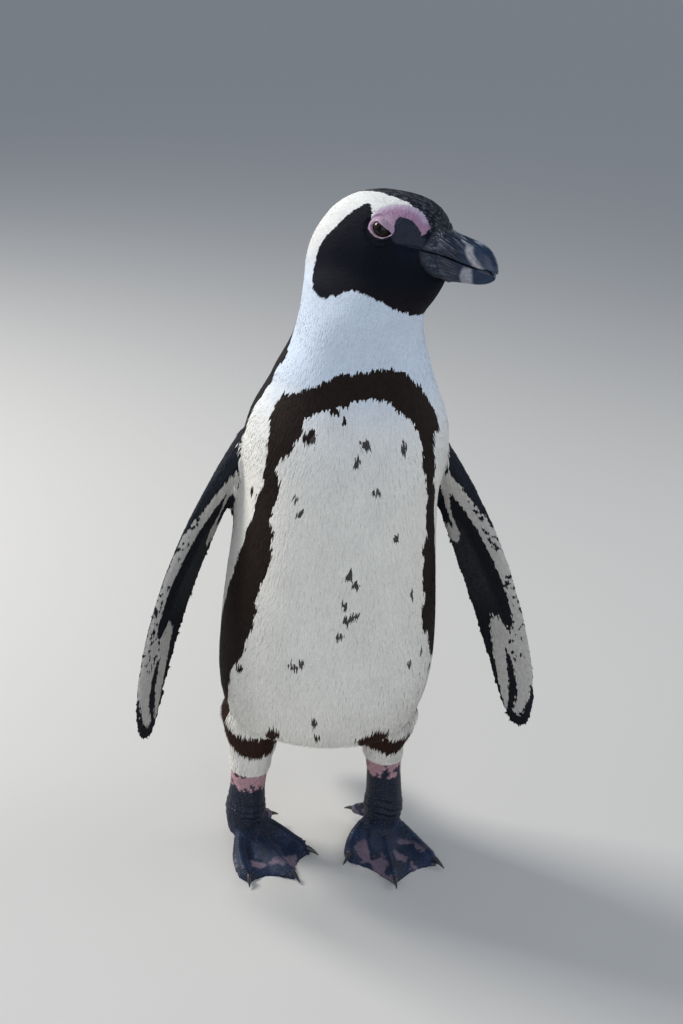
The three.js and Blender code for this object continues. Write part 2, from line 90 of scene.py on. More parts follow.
def to_row(points):
    """The bird's millimetres to metres in the row frame."""
    return np.asarray(points, float) * MM + ORIGIN


def head_frame(points):
    """Distance forward, distance left and height in the head's own frame."""
    offset = points - np.array([0.0, HEAD_Y, 0.0])
    return offset @ FORWARD, offset @ LEFT, points[:, 2]


# ------------------------------------------------------------------- small mathematics

LATTICE_SIZE = 8192  # a power of two
LATTICE = np.random.default_rng(11).random(LATTICE_SIZE)


def noise(points, scale):
    """Smooth noise from 0 to 1, with features about scale across."""
    spot = np.asarray(points, float) / scale
    cell = np.floor(spot).astype(np.int64)
    part = spot - cell
    part = part * part * (3 - 2 * part)
    total = np.zeros(len(spot))
    for corner in range(8):
        step = np.array([corner & 1, (corner >> 1) & 1, corner >> 2])
        weight = np.prod(np.where(step == 1, part, 1 - part), axis=1)
        at = cell + step
        key = (at[:, 0] * 73856093) ^ (at[:, 1] * 19349663) ^ (at[:, 2] * 83492791)
        total += weight * LATTICE[key & (LATTICE_SIZE - 1)]
    return total


def smooth(value, low, high):
    """0 at low, 1 at high and an even turn between them. High may be the smaller."""
    t = np.clip((np.asarray(value, float) - low) / (high - low), 0, 1)
    return t * t * (3 - 2 * t)


def inside(outline, x, y):
    """True where a point lies within a closed outline."""
    found = np.zeros(len(x), bool)
    previous = outline[-1]
    for corner in outline:
        (x0, y0), (x1, y1) = previous, corner
        if y0 != y1:
            crosses = ((y0 > y) != (y1 > y)) & (x < (x1 - x0) * (y - y0) / (y1 - y0) + x0)
            found ^= crosses
        previous = corner
    return found


def distance_to(line, x, y):
    """Distance to an open line of points, and how far along it that is, from 0 to 1."""
    best = np.full(len(x), 1e9)
    along = np.zeros(len(x))
    for i in range(len(line) - 1):
        (x0, y0), (x1, y1) = line[i], line[i + 1]
        dx, dy = x1 - x0, y1 - y0
        t = np.clip(((x - x0) * dx + (y - y0) * dy) / (dx * dx + dy * dy), 0, 1)
        gap = np.hypot(x - x0 - t * dx, y - y0 - t * dy)
        nearer = gap < best
        best = np.where(nearer, gap, best)
        along = np.where(nearer, (i + t) / (len(line) - 1), along)
    return best, along


def outline_gap(outline, x, y):
    """How far outside a closed outline each point is, negative within it."""
    gap, _ = distance_to(outline + outline[:1], x, y)
    return np.where(inside(outline, x, y), -gap, gap)


def read(rows, at, column=1):
    """A value from rows sorted by their first number."""
    rows = np.array(rows, float)
    return np.interp(at, rows[:, 0], rows[:, column])


def mixed(first, second, share):
    """At each point the first colour at a share of 0, the second at 1, a blend between."""
    share = np.asarray(share, float)[:, None]
    return first * (1 - share) + second * share


def bell(distance, width):
    """1 at no distance, falling away evenly on both sides over about a width."""
    return np.exp(-((distance / width) ** 2))


# ---------------------------------------------------------------------- mesh handling


def mesh_arrays(mesh):
    """A mesh's points and triangles."""
    points = np.empty(len(mesh.vertices) * 3)
    mesh.vertices.foreach_get("co", points)
    mesh.calc_loop_triangles()
    triangles = np.empty(len(mesh.loop_triangles) * 3, np.int32)
    mesh.loop_triangles.foreach_get("vertices", triangles)
    return points.reshape(-1, 3), triangles.reshape(-1, 3)


def joined(names):
    """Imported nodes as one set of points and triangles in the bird's frame, and the place
    in names of the node each triangle comes from."""
    points, triangles, owner, start = [], [], [], 0
    for index, name in enumerate(names):
        spots, faces = mesh_arrays(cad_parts[name].data)
        points.append(to_bird(spots))
        triangles.append(faces + start)
        owner.append(np.full(len(faces), index))
        start += len(spots)
    return np.concatenate(points), np.concatenate(triangles), np.concatenate(owner)


def plain_mesh(name, points, triangles):
    """A mesh from arrays of points and triangles."""
    mesh = bpy.data.meshes.new(name)
    mesh.vertices.add(len(points))
    mesh.vertices.foreach_set("co", np.asarray(points, np.float32).ravel())
    mesh.loops.add(len(triangles) * 3)
    mesh.loops.foreach_set("vertex_index", np.asarray(triangles, np.int32).ravel())
    mesh.polygons.add(len(triangles))
    mesh.polygons.foreach_set("loop_start", np.arange(len(triangles), dtype=np.int32) * 3)
    mesh.update(calc_edges=True)
    return mesh


def largest_piece(mesh):
    """The mesh without the crumbs that lie apart from its main body."""
    work = bmesh.new()
    work.from_mesh(mesh)
    left = set(work.verts)
    pieces = []
    while left:
        found = {left.pop()}
        edge = list(found)
        while edge:
            near = {e.other_vert(v) for v in edge for e in v.link_edges} - found
            found |= near
            edge = list(near)
        left -= found
        pieces.append(found)
    pieces.sort(key=len)
    for crumbs in pieces[:-1]:
        bmesh.ops.delete(work, geom=list(crumbs), context="VERTS")
    work.to_mesh(mesh)
    work.free()
    return mesh


def voxel_mesh(points, triangles, size):
    """The same solid with even quads, joined where its pieces touch."""
    rough = bpy.data.objects.new("rough", plain_mesh("rough", points, triangles))
    bpy.context.scene.collection.objects.link(rough)
    voxels = rough.modifiers.new("voxels", "REMESH")
    voxels.mode = "VOXEL"
    voxels.voxel_size = size
    graph = bpy.context.evaluated_depsgraph_get()
    made = bpy.data.meshes.new_from_object(rough.evaluated_get(graph))
    bpy.data.objects.remove(rough)
    return made


def refined(mesh, wanted):
    """The mesh with the faces whose points are wanted cut in four."""
    points, _ = mesh_arrays(mesh)
    chosen = wanted(points)
    work = bmesh.new()
    work.from_mesh(mesh)
    work.verts.ensure_lookup_table()
    edges = [e for e in work.edges if chosen[e.verts[0].index] and chosen[e.verts[1].index]]
    bmesh.ops.subdivide_edges(work, edges=edges, cuts=1, use_grid_fill=True)
    bmesh.ops.triangulate(work, faces=[f for f in work.faces if len(f.verts) > 4])
    work.to_mesh(mesh)
    work.free()
    return mesh


def edges_of(mesh):
    """Pairs of joined points."""
    pairs = np.empty(len(mesh.edges) * 2, np.int32)
    mesh.edges.foreach_get("vertices", pairs)
    return pairs.reshape(-1, 2)


def neighbours_mean(values, pairs, count):
    """Each point's mean over the points it is joined to."""
    a, b = pairs[:, 0], pairs[:, 1]
    size = len(values)
    columns = [
        np.bincount(a, column[b], size) + np.bincount(b, column[a], size)
        for column in values.reshape(size, -1).T
    ]
    return (np.stack(columns, 1) / count[:, None]).reshape(values.shape)


def relaxed(values, pairs, rounds, keep=False):
    """Values evened out over a mesh. Rounds may differ from point to point, and keep
    holds the volume."""
    count = np.maximum(np.bincount(pairs.ravel(), minlength=len(values)), 1)
    rounds = np.broadcast_to(np.asarray(rounds, float), (len(values),))
    values = values.copy()
    for step in range(int(math.ceil(rounds.max()))):
        weight = np.clip(rounds - step, 0, 1)
        if values.ndim > 1:
            weight = weight[:, None]
        values += 0.5 * weight * (neighbours_mean(values, pairs, count) - values)
        if keep:
            values -= 0.52 * weight * (neighbours_mean(values, pairs, count) - values)
    return values


def point_normals(points, triangles):
    """Each point's outward direction."""
    a, b, c = (points[triangles[:, k]] for k in range(3))
    faces = np.cross(b - a, c - a)
    total = np.zeros_like(points)
    for k in range(3):
        for axis in range(3):
            total[:, axis] += np.bincount(triangles[:, k], faces[:, axis], len(points))
    return unit(total)


def set_points(mesh, points):
    """Puts a mesh's points where they are given."""
    mesh.vertices.foreach_set("co", np.asarray(points, np.float32).ravel())
    mesh.update()


def store(mesh, name, values):
    """Stores a number at each point, for the material to read."""
    layer = mesh.attributes.new(name, "FLOAT", "POINT")
    layer.data.foreach_set("value", np.asarray(values, np.float32))


def give_tone(mesh, colours, gloss=None):
    """Stores a colour, and a roughness if given, at each point."""
    tone = mesh.attributes.new("Tone", "FLOAT_COLOR", "POINT")
    rgba = np.ones((len(colours), 4), np.float32)
    rgba[:, :3] = np.clip(colours, 0, 1)
    tone.data.foreach_set("color", rgba.ravel())
    if gloss is not None:
        store(mesh, "Rough", gloss)


def show(name, mesh, material, replaced=(), smooth_shade=True):
    """Links a piece of the bird, in the row frame."""
    mesh.name = name
    points, _ = mesh_arrays(mesh)
    set_points(mesh, to_row(points))
    if smooth_shade:
        mesh.shade_smooth()
    else:
        mesh.shade_flat()
    mesh.materials.clear()
    mesh.materials.append(material)
    piece = bpy.data.objects.new(name, mesh)
    bpy.context.scene.collection.objects.link(piece)
    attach(piece, "root")
    if replaced:
        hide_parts(*replaced)


# --------------------------------------------------------------------------- markings

WHITE = np.array([0.765, 0.765, 0.75])
# Cream low on the belly: a stain, and partly painted shade that dulls the white.
CREAM = np.array([0.745, 0.722, 0.668])
# Bluish white: painted shade, the sky-lit shade on the throat and breast.
SHADE_BLUE_WHITE = np.array([0.61, 0.69, 0.795])
BAND_BLACK = np.array([0.0155, 0.0100, 0.0082])
MASK_BLACK = np.array([0.0024, 0.0036, 0.0085])
BACK_BLACK = np.array([0.013, 0.0135, 0.017])
WING_BLACK = np.array([0.010, 0.011, 0.015])
HEM_BROWN = np.array([0.030, 0.014, 0.010])
FLECK_GREY = np.array([0.062, 0.056, 0.056])
PINK = np.array([0.345, 0.20, 0.31])
PALE_PINK = np.array([0.52, 0.44, 0.56])
LORE_GREY = np.array([0.0058, 0.0105, 0.0260])
LID_PINK = np.array([0.44, 0.33, 0.42])
HORN = np.array([0.0048, 0.0105, 0.0270])
# The bill's tip is bluer: a painted bluish sheen over the horn's own dark colour.
TIP_HORN_SHEEN = np.array([0.0028, 0.0165, 0.0500])
# Blue-black of the feet, partly their own colour and partly a painted reflection of the sky.
FOOT_BLACK_AND_SKY_SHEEN = np.array([0.0060, 0.0155, 0.0430])
SHANK_BLACK = np.array([0.0040, 0.0085, 0.0230])
FOOT_PINK = np.array([0.150, 0.110, 0.155])
SHANK_PINK = np.array([0.40, 0.23, 0.26])
# Pale streaks on the crown, partly painted sheen, and a painted silvery sheen on its black.
CROWN_FLECK_AND_SHEEN = np.array([0.060, 0.064, 0.076])
CROWN_PAINTED_SHEEN = np.array([0.12, 0.125, 0.145])
# Painted bluish sheen on the black of the face near the bill.
FACE_BLUE_SHEEN = np.array([0.001, 0.003, 0.008])
# Painted bluish sheen along each flipper's leading edge.
WING_PAINTED_SHEEN = np.array([0.009, 0.011, 0.016])
WING_LINING = np.array([0.52, 0.50, 0.47])
# Paler raised ridges of the bill's base: a painted highlight on their tops.
RIDGE_GREY = np.array([0.085, 0.095, 0.115])
UPPER_GREY = np.array([0.43, 0.41, 0.44])  # the pale band near each mandible's tip
LOWER_GREY = np.array([0.34, 0.35, 0.39])
TIP_EDGE = np.array([0.030, 0.033, 0.036])
# Pale fibres on the horn, partly painted reflections of light along them.
FIBRE_GLINT_GREY = (0.33, 0.36, 0.42, 1)
IRIS_BROWN = np.array([0.011, 0.0065, 0.0045])
PUPIL_BLACK = np.array([0.002, 0.002, 0.002])
EYE_RIM = np.array([0.010, 0.007, 0.006])
EYE_CORNER = np.array([0.20, 0.11, 0.12])
CLAW_BLACK = np.array([0.018, 0.018, 0.021])

# The trunk's middle line: height, x, y.
BODY_AXIS = [
    (76, 0, 63), (100, -2, 36), (126, -4.5, 7), (180, -4.5, -2.5), (290, -7.5, -4.5),
    (360, -2.5, -2.5), (409, -2, 0), (450, -3, -3), (505, 0, -8),
]

# The dark band over the breast. Degrees are round the trunk's middle line, from
# straight ahead, positive to the bird's left. Angle, lower edge, upper edge.
ARCH = [
    (-66, 378, 391), (-56, 378, 399), (-48, 380, 405), (-42, 385, 409), (-33, 392, 414),
    (-22, 395, 418), (-10, 399, 420), (2, 403, 421.5), (15, 402, 423), (25, 398, 423),
    (30, 395, 422), (38, 387, 420), (46, 380, 414), (51, 378, 409), (56, 378, 400), (61, 378, 390),
]

# Where white gives way to dark on each flank: height, angle.
LEFT_INNER = [
    (100, 92), (150, 92), (175, 85), (185, 75), (195, 66), (203, 61), (215, 57), (228, 51),
    (277, 49.5), (308, 51), (333, 49), (343, 47), (353, 42), (376, 41), (391, 35), (404, 6),
]
RIGHT_INNER = [
    (100, -76), (120, -76), (140, -73), (150, -71), (160, -69), (180, -65), (198, -55), (211, -54),
    (221, -50), (248, -49), (281, -44), (313, -47), (330, -45), (345, -49), (355, -50), (365, -42),
    (385, -41), (395, -30), (404, 0),
]

# The white stripe between the band and the back: height, front edge, rear edge.
LEFT_STRIPE = [
    (206, 92, 92), (221, 88, 93), (240, 80, 94), (262, 74, 95), (296, 67, 95), (319, 62.5, 96),
    (333, 60, 96), (343, 54, 96), (366, 52, 98), (376, 54, 100), (391, 60, 103), (398, 56, 105),
]
RIGHT_STRIPE = [
    (206, -90, -90), (221, -86, -92), (235, -81, -93), (260, -75, -95), (281, -69, -95),
    (295, -64, -95), (325, -60, -93), (338, -58, -89), (356, -60, -87), (385, -64, -87),
    (398, -64, -84),
]

# The dark nape: height, half its width in degrees.
NAPE = [
    (395, 81), (405, 81), (418, 75), (428, 65), (438, 54), (450, 40), (465, 25), (480, 15),
    (560, 10),
]

# Small dark flecks on the belly: angle, height, half width, half height.
FLECKS = [
    (-23, 392, 4.5, 3), (-15, 386, 2.6, 3), (1, 372, 4, 3.4), (28, 370, 3, 4.4), (-4, 361, 3.6, 4),
    (10, 340, 4.2, 2.6), (-35.5, 330, 2.6, 4), (-31, 320, 3, 3), (-36, 374, 7, 5),
    (26, 305, 2.6, 4), (1, 279, 3.4, 4), (4.5, 272, 3.6, 3.4), (-0.6, 256, 2.2, 4),
    (0.4, 244, 3, 4.4), (4.7, 248, 4, 3.4), (-2, 231, 3.4, 3), (-26, 202, 3.4, 3.4),
    (-21, 206, 3, 3), (41, 202, 2.6, 4), (50, 208, 2.4, 3), (39.5, 259, 2.2, 4),
    (-12, 154, 4, 3.4), (-9, 139, 2.6, 3), (-59, 184, 4, 4), (66, 185, 3, 4), (-67, 323, 2.2, 4),
]

# Dark hem feathers where the belly meets each thigh: angle, height.
HEM_LEFT = [(15, 134), (21, 141), (29, 143), (36, 138), (42, 130), (50, 118), (40, 112), (24, 124)]
HEM_RIGHT = [(-46, 120), (-41, 131), (-36, 141), (-31, 139), (-32, 133), (-38, 122)]

# The head's marks in its side view: distance forward, height.
MASK = [
    (3, 536.5), (-0.5, 535.5), (-6, 530.6), (-10.7, 526.8), (-18.8, 516.5), (-26.2, 508),
    (-30.2, 500), (-31.5, 493.5), (-32.5, 485), (-31, 477.5), (-28.2, 472), (-21.7, 469.6),
    (-13.3, 468), (-10.9, 471), (-3.8, 473.3), (0, 476.4), (8.6, 478), (15, 477.4), (23.7, 474.3),
    (31, 469.9), (37, 466.9), (42, 462), (50, 455), (70, 455), (70, 540), (52, 536), (47, 530),
    (40, 532), (33, 535), (24, 534), (14, 530), (8.5, 527), (7, 529), (6.2, 533.6),
]
PINK_SKIN = [
    (8, 521), (8.2, 524.5), (8.7, 528.7), (10.5, 533.3), (15.8, 536.5), (21.1, 538.5),
    (29.5, 539.4), (37.1, 537.6), (41.8, 534.9), (45.2, 531.3), (48.2, 526.7), (46.8, 522.8),
    (44.5, 521), (44, 523.3), (40.9, 526.7), (37, 529.9), (33.5, 531), (28.1, 531.7), (26.3, 529.4),
    (26.2, 526.1), (27.4, 521.6), (26.4, 518.9), (20.3, 515.9), (15.5, 516.4), (11.3, 518.6),
]
LORES = [
    (27.4, 520), (26.2, 526), (26.3, 530), (28, 532), (33.5, 531.6), (37, 530.5), (41.3, 527),
    (44.6, 523), (48, 519.5), (47, 512), (41, 512.3), (34, 513.5), (29, 514.5), (26, 517.5),
]
PINK_TOP = [(8.4, 529)] + PINK_SKIN[3:10]  # its paler upper edge

# The dark crown: distance forward, half width.
CROWN = [
    (-60, 5), (-20, 5), (-8, 6), (0.5, 8.3), (14, 11), (27, 13), (37, 14.2), (44, 14.3), (50, 15),
]

# Where feathers give way to horn at the bill, in side view: height, distance forward.
BILL_BASE = [
    (490, 60), (493.3, 55.4), (497, 51.5), (503.4, 47.3), (509.5, 45.6), (514.5, 46.6),
    (519.5, 49.4), (525, 51.4), (529, 52.4), (534, 53.5),
]

# The white on the underside of each flipper: share of its length, millimetres ahead of
# its line.
WING_WHITE = [
    (0.02, 0), (0.01, 5), (0.03, 11), (0.1, 14), (0.2, 19.5), (0.3, 21.5), (0.42, 20.5), (0.5, 18),
    (0.6, 14), (0.7, 10), (0.78, 4.5), (0.84, -3), (0.89, -10), (0.93, -18), (0.945, -26),
    (0.93, -29), (0.9, -24), (0.87, -18.5), (0.8, -14), (0.72, -9), (0.66, -6), (0.62, -4),
    (0.61, 2), (0.55, 6), (0.45, 9.5), (0.35, 9.5), (0.25, 8.5), (0.18, 6), (0.12, 3), (0.1, 0),
    (0.12, -3), (0.16, -8), (0.2, -9.5), (0.25, -10), (0.28, -14), (0.285, -18), (0.265, -22),
    (0.265, -28), (0.31, -31.5), (0.3, -38), (0.2, -38), (0.2, -26), (0.21, -20), (0.22, -14),
    (0.18, -12.5), (0.12, -9.5), (0.07, -5),
]
WING_TIP_WHITE = [
    (0.555, -8), (0.6, -6), (0.64, -3), (0.7, -4), (0.76, -8), (0.8, -12), (0.76, -12),
    (0.71, -11.5), (0.69, -13), (0.72, -16), (0.77, -19), (0.82, -23), (0.87, -28), (0.91, -32.5),
    (0.92, -36), (0.86, -35), (0.78, -31.5), (0.72, -28.5), (0.66, -24.5), (0.6, -20), (0.57, -15),
]

# The dark hem round each thigh: degrees round the ankle, positive outward, lower edge,
# upper edge.
THIGH_HEM = [(-60, 94, 110), (-20, 90, 108), (40, 92, 110), (90, 97, 122), (150, 101, 134)]

FLANK_TOP = 398  # where the flanks' dark ends
NAPE_LOW = 396  # where the nape's dark starts
MASK_LOW = 452  # the neck takes the head's pattern above this
FACE_SIDE = 6  # how far from the middle of the head its bare skin starts

HEAD, NECK, TRUNK, TAIL, WING_L, WING_R, LEG_L, LEG_R, FOOT_L, FOOT_R = range(10)
FLESH = [
    "head", "neck", "trunk", "tail", "flipper_left", "flipper_right", "leg_left", "leg_right",
    "foot_left", "foot_right",
]

# Each flipper's line: where it starts, how far it hangs out and slopes back in
# degrees, how its leading edge is turned and how far its middle bows outward.
WINGS = {
    WING_L: (1, (69.5, 2, 338), 27.4, -8, 48, 4.6),
    WING_R: (-1, (-85.4, 2, 330.3), 18, -8, 39, 10.4),
}
WING_LENGTH = 238.0
WING_CHORD = 54.0
WING_EDGES = [
    (-0.16, 0.5, -2), (0.06, 0.76, 0), (0.2, 0.93, 1), (0.38, 1, 4.5), (0.6, 0.97, 10.5),
    (0.78, 0.87, 17), (0.9, 0.72, 22.5), (0.96, 0.55, 25.5), (0.985, 0.4, 26.5), (1, 0.2, 27),
]
ANKLES = {LEG_L: (59.5, 8.0), LEG_R: (-57.0, 3.0)}
ANKLES.update({FOOT_L: ANKLES[LEG_L], FOOT_R: ANKLES[LEG_R]})
SOCKS = {LEG_L: 80.0, LEG_R: 70.0}  # where the white feathers of each leg end
TAIL_DROP = math.radians(34)
TAIL_WAY = np.array([0.0, math.cos(TAIL_DROP), -math.sin(TAIL_DROP)])
TAIL_ROOT = (-1.0, 44.0, 112.0)
TAIL_LENGTH = 96.0


def wing_axes(label):
    """A flipper's start, its line, its outward, leading and facing directions."""
    sign, root, lean, trail, twist, _ = WINGS[label]
    slope, turn = math.radians(lean), math.radians(twist)
    down = unit([sign * math.sin(slope), math.sin(math.radians(trail)), -math.cos(slope)])
    outward = np.array([sign * math.cos(slope), 0.0, math.sin(slope)])
    lead = np.array([sign * math.sin(turn), -math.cos(turn), 0.0])
    lead = unit(lead - lead @ down * down)
    face = unit(np.cross(lead, down))
    if face @ outward < 0:
        face = -face
    return np.array(root, float), down, outward, lead, face


def wing_bend(share, label):
    """How far outward a flipper's line is bent, at shares of its length."""
    return WINGS[label][5] * 4 * share * (1 - share)


def wing_edges(share):
    """How far ahead of a flipper's line its leading and trailing edges are."""
    half = WING_CHORD / 2 * read(WING_EDGES, share, 1)
    sweep = read(WING_EDGES, share, 2)
    return half - sweep, -half - sweep


def wing_place(points, label):
    """Share of a flipper's length, millimetres ahead of its line, height over it."""
    root, down, outward, lead, face = wing_axes(label)
    offset = points - root
    share = offset @ down / WING_LENGTH
    bent = offset - np.outer(wing_bend(share, label), outward)
    return share, bent @ lead, bent @ face


def tail_share(points):
    """How far down the tail a point is, as a share of its length."""
    return (points - np.array(TAIL_ROOT)) @ TAIL_WAY / TAIL_LENGTH


def around_ankle(points, label):
    """The angle round a leg's ankle from straight ahead, positive to the bird's left."""
    x, y = ANKLES[label]
    return np.arctan2(points[:, 0] - x, y - points[:, 1])


def body_angle(points):
    """Degrees round the trunk's middle line from straight ahead, positive to the left."""
    z = points[:, 2]
    x = points[:, 0] - read(BODY_AXIS, z, 1)
    y = points[:, 1] - read(BODY_AXIS, z, 2)
    return np.degrees(np.arctan2(x, -y))


def from_nape(points):
    """Degrees from the middle of the nape, which turns with the head."""
    z = points[:, 2]
    middle = -180 + 52 * smooth(z, 395, 480) + 14 * smooth(z, 440, 418)
    return np.abs((body_angle(points) - middle + 180) % 360 - 180)


def body_dark(points, normals):
    """Where the plumage of trunk and neck is dark."""
    wobble = (noise(points, 7) - 0.5) * 4.4 + (noise(points + 50, 2.6) - 0.5) * 2.6
    angle = body_angle(points)
    z = points[:, 2] + (noise(points + 90, 5) - 0.5) * 4
    dark = (z > read(ARCH, angle, 1)) & (z < read(ARCH, angle, 2))
    dark &= (angle > ARCH[0][0]) & (angle < ARCH[-1][0])
    for sign, inner, stripe in ((1, LEFT_INNER, LEFT_STRIPE), (-1, RIGHT_INNER, RIGHT_STRIPE)):
        side = sign * (angle + wobble)
        striped = (side > sign * read(stripe, z, 1)) & (side < sign * read(stripe, z, 2))
        flank = (side > sign * read(inner, z)) & ~(striped & (z > stripe[0][0]))
        dark |= flank & (z < FLANK_TOP)
    dark |= (z >= NAPE_LOW) & (from_nape(points) + wobble < read(NAPE, z))
    for spot, height, half_width, half_height in FLECKS:
        reach = 62 if height > 370 else 78  # from the trunk's middle line to its front
        sideways = (angle - spot) * math.radians(1) * reach
        gap = (sideways / half_width) ** 2 + ((points[:, 2] - height) / half_height) ** 2
        dark |= gap + 1.6 * noise(points + 20, 1.7) < 1.55
    under = (normals[:, 2] < -0.45) & (points[:, 2] < 125)
    dark &= ~under
    return dark | inside(HEM_LEFT, angle, z) | inside(HEM_RIGHT, angle, z)


def head_regions(points):
    """Where the head is dark, crown, pink skin and lores: four true-or-false rows."""
    f, left, z = head_frame(points)
    side = np.abs(left)
    ragged = (noise(points, 3.2) - 0.5) * 2.2 + (noise(points + 70, 1.4) - 0.5) * 1.2
    crown = (side + ragged * 0.6 < read(CROWN, f)) & (z > 505) & (f > -60)
    nape = (f < -25) & (from_nape(points) + ragged < read(NAPE, z))
    mask = inside(MASK, f + ragged * 0.55, z + ragged * 0.8)
    under_bill = (f > 46.5) & (z > 455)
    pink = inside(PINK_SKIN, f, z) & (side > FACE_SIDE)
    lores = inside(LORES, f, z) & (side > FACE_SIDE) & ~pink
    return (crown | nape | mask | under_bill) & ~pink, crown, pink, lores


def bill_side(f, side, z):
    """How far ahead of the edge of the horn a point is; feathers reach forward on top."""
    return f - read(BILL_BASE, z) - 5 * smooth(side, 9.5, 2) * smooth(z, 521, 526)


def wing_dark(points, normals, label, ragged):
    """Where a flipper is dark. Ragged shifts the edges along the feathers."""
    share, ahead, _ = wing_place(points, label)
    face = wing_axes(label)[4]
    inner = normals @ face < 0.12
    along = share + ragged / WING_LENGTH
    white = inside(WING_WHITE, along, ahead) | inside(WING_TIP_WHITE, along, ahead)
    fleck = noise(points + 33, 2.3)
    mottled = (share > 0.11) & (share < 0.34) & (ahead > 13)
    mottled |= (share > 0.42) & (share < 0.58) & (ahead > 10)
    white &= ~(mottled & (fleck > 0.64))
    speckled = (share > 0.56) & (share < 0.74) & (ahead > -9)
    white &= ~(speckled & (fleck > 0.71))
    front, rear = wing_edges(share)
    white &= (ahead < front - 2.6 - 2 * smooth(share, 0.8, 0.95)) | (share < 0.2)
    rim = (ahead < rear + 3.2) & (share > 0.12) & (share < 0.8)
    return np.where(inner, ~white, ~rim)


def leg_dark(points, label):
    """The dark hem feathers round the thigh."""
    outward = 1 if label == LEG_L else -1
    around = np.degrees(around_ankle(points, label)) * outward
    low, high = (read(THIGH_HEM, around, k) for k in (1, 2))
    z = points[:, 2] + (noise(points, 4) - 0.5) * 6
    flank = (around > 62) & (z > low + 14)
    return ((z > low) & (z < high)) | flank


def white_tones(points, seeds):
    """White plumage, creamy low on the belly, with bluish painted shade from the breast to the
    throat.
    """
    z = points[:, 2]
    # Creamy low on the belly: a stain, and partly painted shade.
    white = mixed(WHITE, CREAM, smooth(z, 405, 320))
    # Painted shade: the throat and upper breast are tinted bluish, as if in shade under the sky.
    white = mixed(white, SHADE_BLUE_WHITE, smooth(z, 370, 420) * smooth(z, 505, 470))
    patch = noise(points + 5, 16)[:, None]
    return white * (0.95 + 0.08 * patch) * (0.97 + 0.06 * seeds)


def head_tones(points, white, seeds):
    """The mask, the streaked crown with its painted sheen, the painted sheen by the bill, the pink
    skin round the eyes and the lores.
    """
    is_dark, crown, pink, lores = head_regions(points)
    f, left, z = head_frame(points)
    black = np.where(crown[:, None], BACK_BLACK, MASK_BLACK)
    black = mixed(black, BAND_BLACK, 0.5 * smooth(z, 492, 462) * smooth(f, -22, -4))
    out = np.where(is_dark[:, None], black * (0.8 + 0.5 * seeds), white)
    fine = noise(np.stack([f * 0.45, left * 1.6, z * 1.6], 1) + 3, 1.3)
    # The crown's pale streaks are partly painted sheen; its silver band is painted sheen where
    # light grazes the black feathers.
    streak = crown * smooth(fine, 0.45, 0.75) * (0.3 + 0.7 * smooth(f, -12, 12))
    painted_sheen = crown * smooth(f, 6, -14) * smooth(f, -42, -30)
    painted_sheen = painted_sheen * (0.35 + 0.65 * smooth(fine, 0.4, 0.6))
    # Painted sheen: the mask's black turns bluish towards the bill.
    face_sheen = is_dark * smooth(f, 22, 40) * smooth(z, 495, 512)
    for share, added in ((streak, CROWN_FLECK_AND_SHEEN), (painted_sheen, CROWN_PAINTED_SHEEN), (face_sheen, FACE_BLUE_SHEEN)):
        out = out + np.outer(share, added)

    stub = noise(np.stack([f * 2.2, z * 0.5, np.abs(left)], 1), 1.1)[:, None]
    gap, _ = distance_to(PINK_TOP, f, z)
    rose = mixed(PINK * (0.82 + 0.36 * stub), PALE_PINK, 0.85 * smooth(gap, 4.2, 0.4))
    from_eye = np.hypot(f - 18, z - 522)
    rose = mixed(rose, LID_PINK, 0.6 * smooth(from_eye, 12, 7.5))
    out = np.where(pink[:, None], rose, out)
    grain = noise(points + 8, 0.9)[:, None]
    return np.where(lores[:, None], LORE_GREY * (0.25 + 1.6 * grain), out), is_dark


def body_tones(points, white, seeds, normals):
    """The band, the back, the belly's flecks and the brown hem over the thighs."""
    is_dark = body_dark(points, normals)
    angle, z = body_angle(points), points[:, 2]
    front = np.abs(angle) < 88
    belly = (angle > read(RIGHT_INNER, z) + 7) & (angle < read(LEFT_INNER, z) - 7)
    black = np.where(front[:, None], BAND_BLACK, BACK_BLACK)
    black = np.where((belly & (z < 376) & (z > 145))[:, None], FLECK_GREY, black)
    black = np.where((front & (z < 150))[:, None], HEM_BROWN, black)
    return np.where(is_dark[:, None], black * (0.7 + 0.6 * seeds), white), is_dark


def tail_tones(points, white, seeds, normals):
    """Black quills, and white under their root."""
    under = (normals[:, 2] < -0.3) & (points[:, 1] < 92)
    return np.where(under[:, None], white, BACK_BLACK * (0.8 + 0.5 * seeds)), ~under


def wing_tones(points, _, seeds, normals, ragged, label):
    """A flipper's black, with a painted bluish sheen along the leading edge and a painted grey
    sheen on its middle, and its grey-white lining.
    """
    is_dark = wing_dark(points, normals, label, ragged)
    share, ahead, _ = wing_place(points, label)
    # Painted sheen: bluish along the leading edge, and grey on the flipper's middle.
    sheen = smooth(wing_edges(share)[0] - ahead, 10, 2)
    soft = smooth(share, 0.16, 0.3) * smooth(share, 0.6, 0.42) * smooth(ahead, 0, -8)
    black = WING_BLACK + np.outer(sheen, WING_PAINTED_SHEEN) + 0.018 * soft[:, None]
    lining = WING_LINING * (0.85 + 0.3 * seeds)
    return np.where(is_dark[:, None], black * (0.7 + 0.6 * seeds), lining), is_dark


def leg_tones(points, white, seeds, label):
    """Brown hem, white sock, and a bare shank that turns from pink to black."""
    hem = leg_dark(points, label)
    below = SOCKS[label] - points[:, 2]
    mottle = noise(points + 9, 4.2) * 0.62 + noise(points + 19, 1.7) * 0.38
    rosy = mottle > 0.37 + 0.5 * smooth(below, 10, 22)
    shank = np.where(rosy[:, None], SHANK_PINK * (0.8 + 0.4 * seeds), SHANK_BLACK)
    out = np.where(hem[:, None], HEM_BROWN * (0.7 + 0.6 * seeds), white)
    return np.where((below > 2)[:, None], shank, out), hem


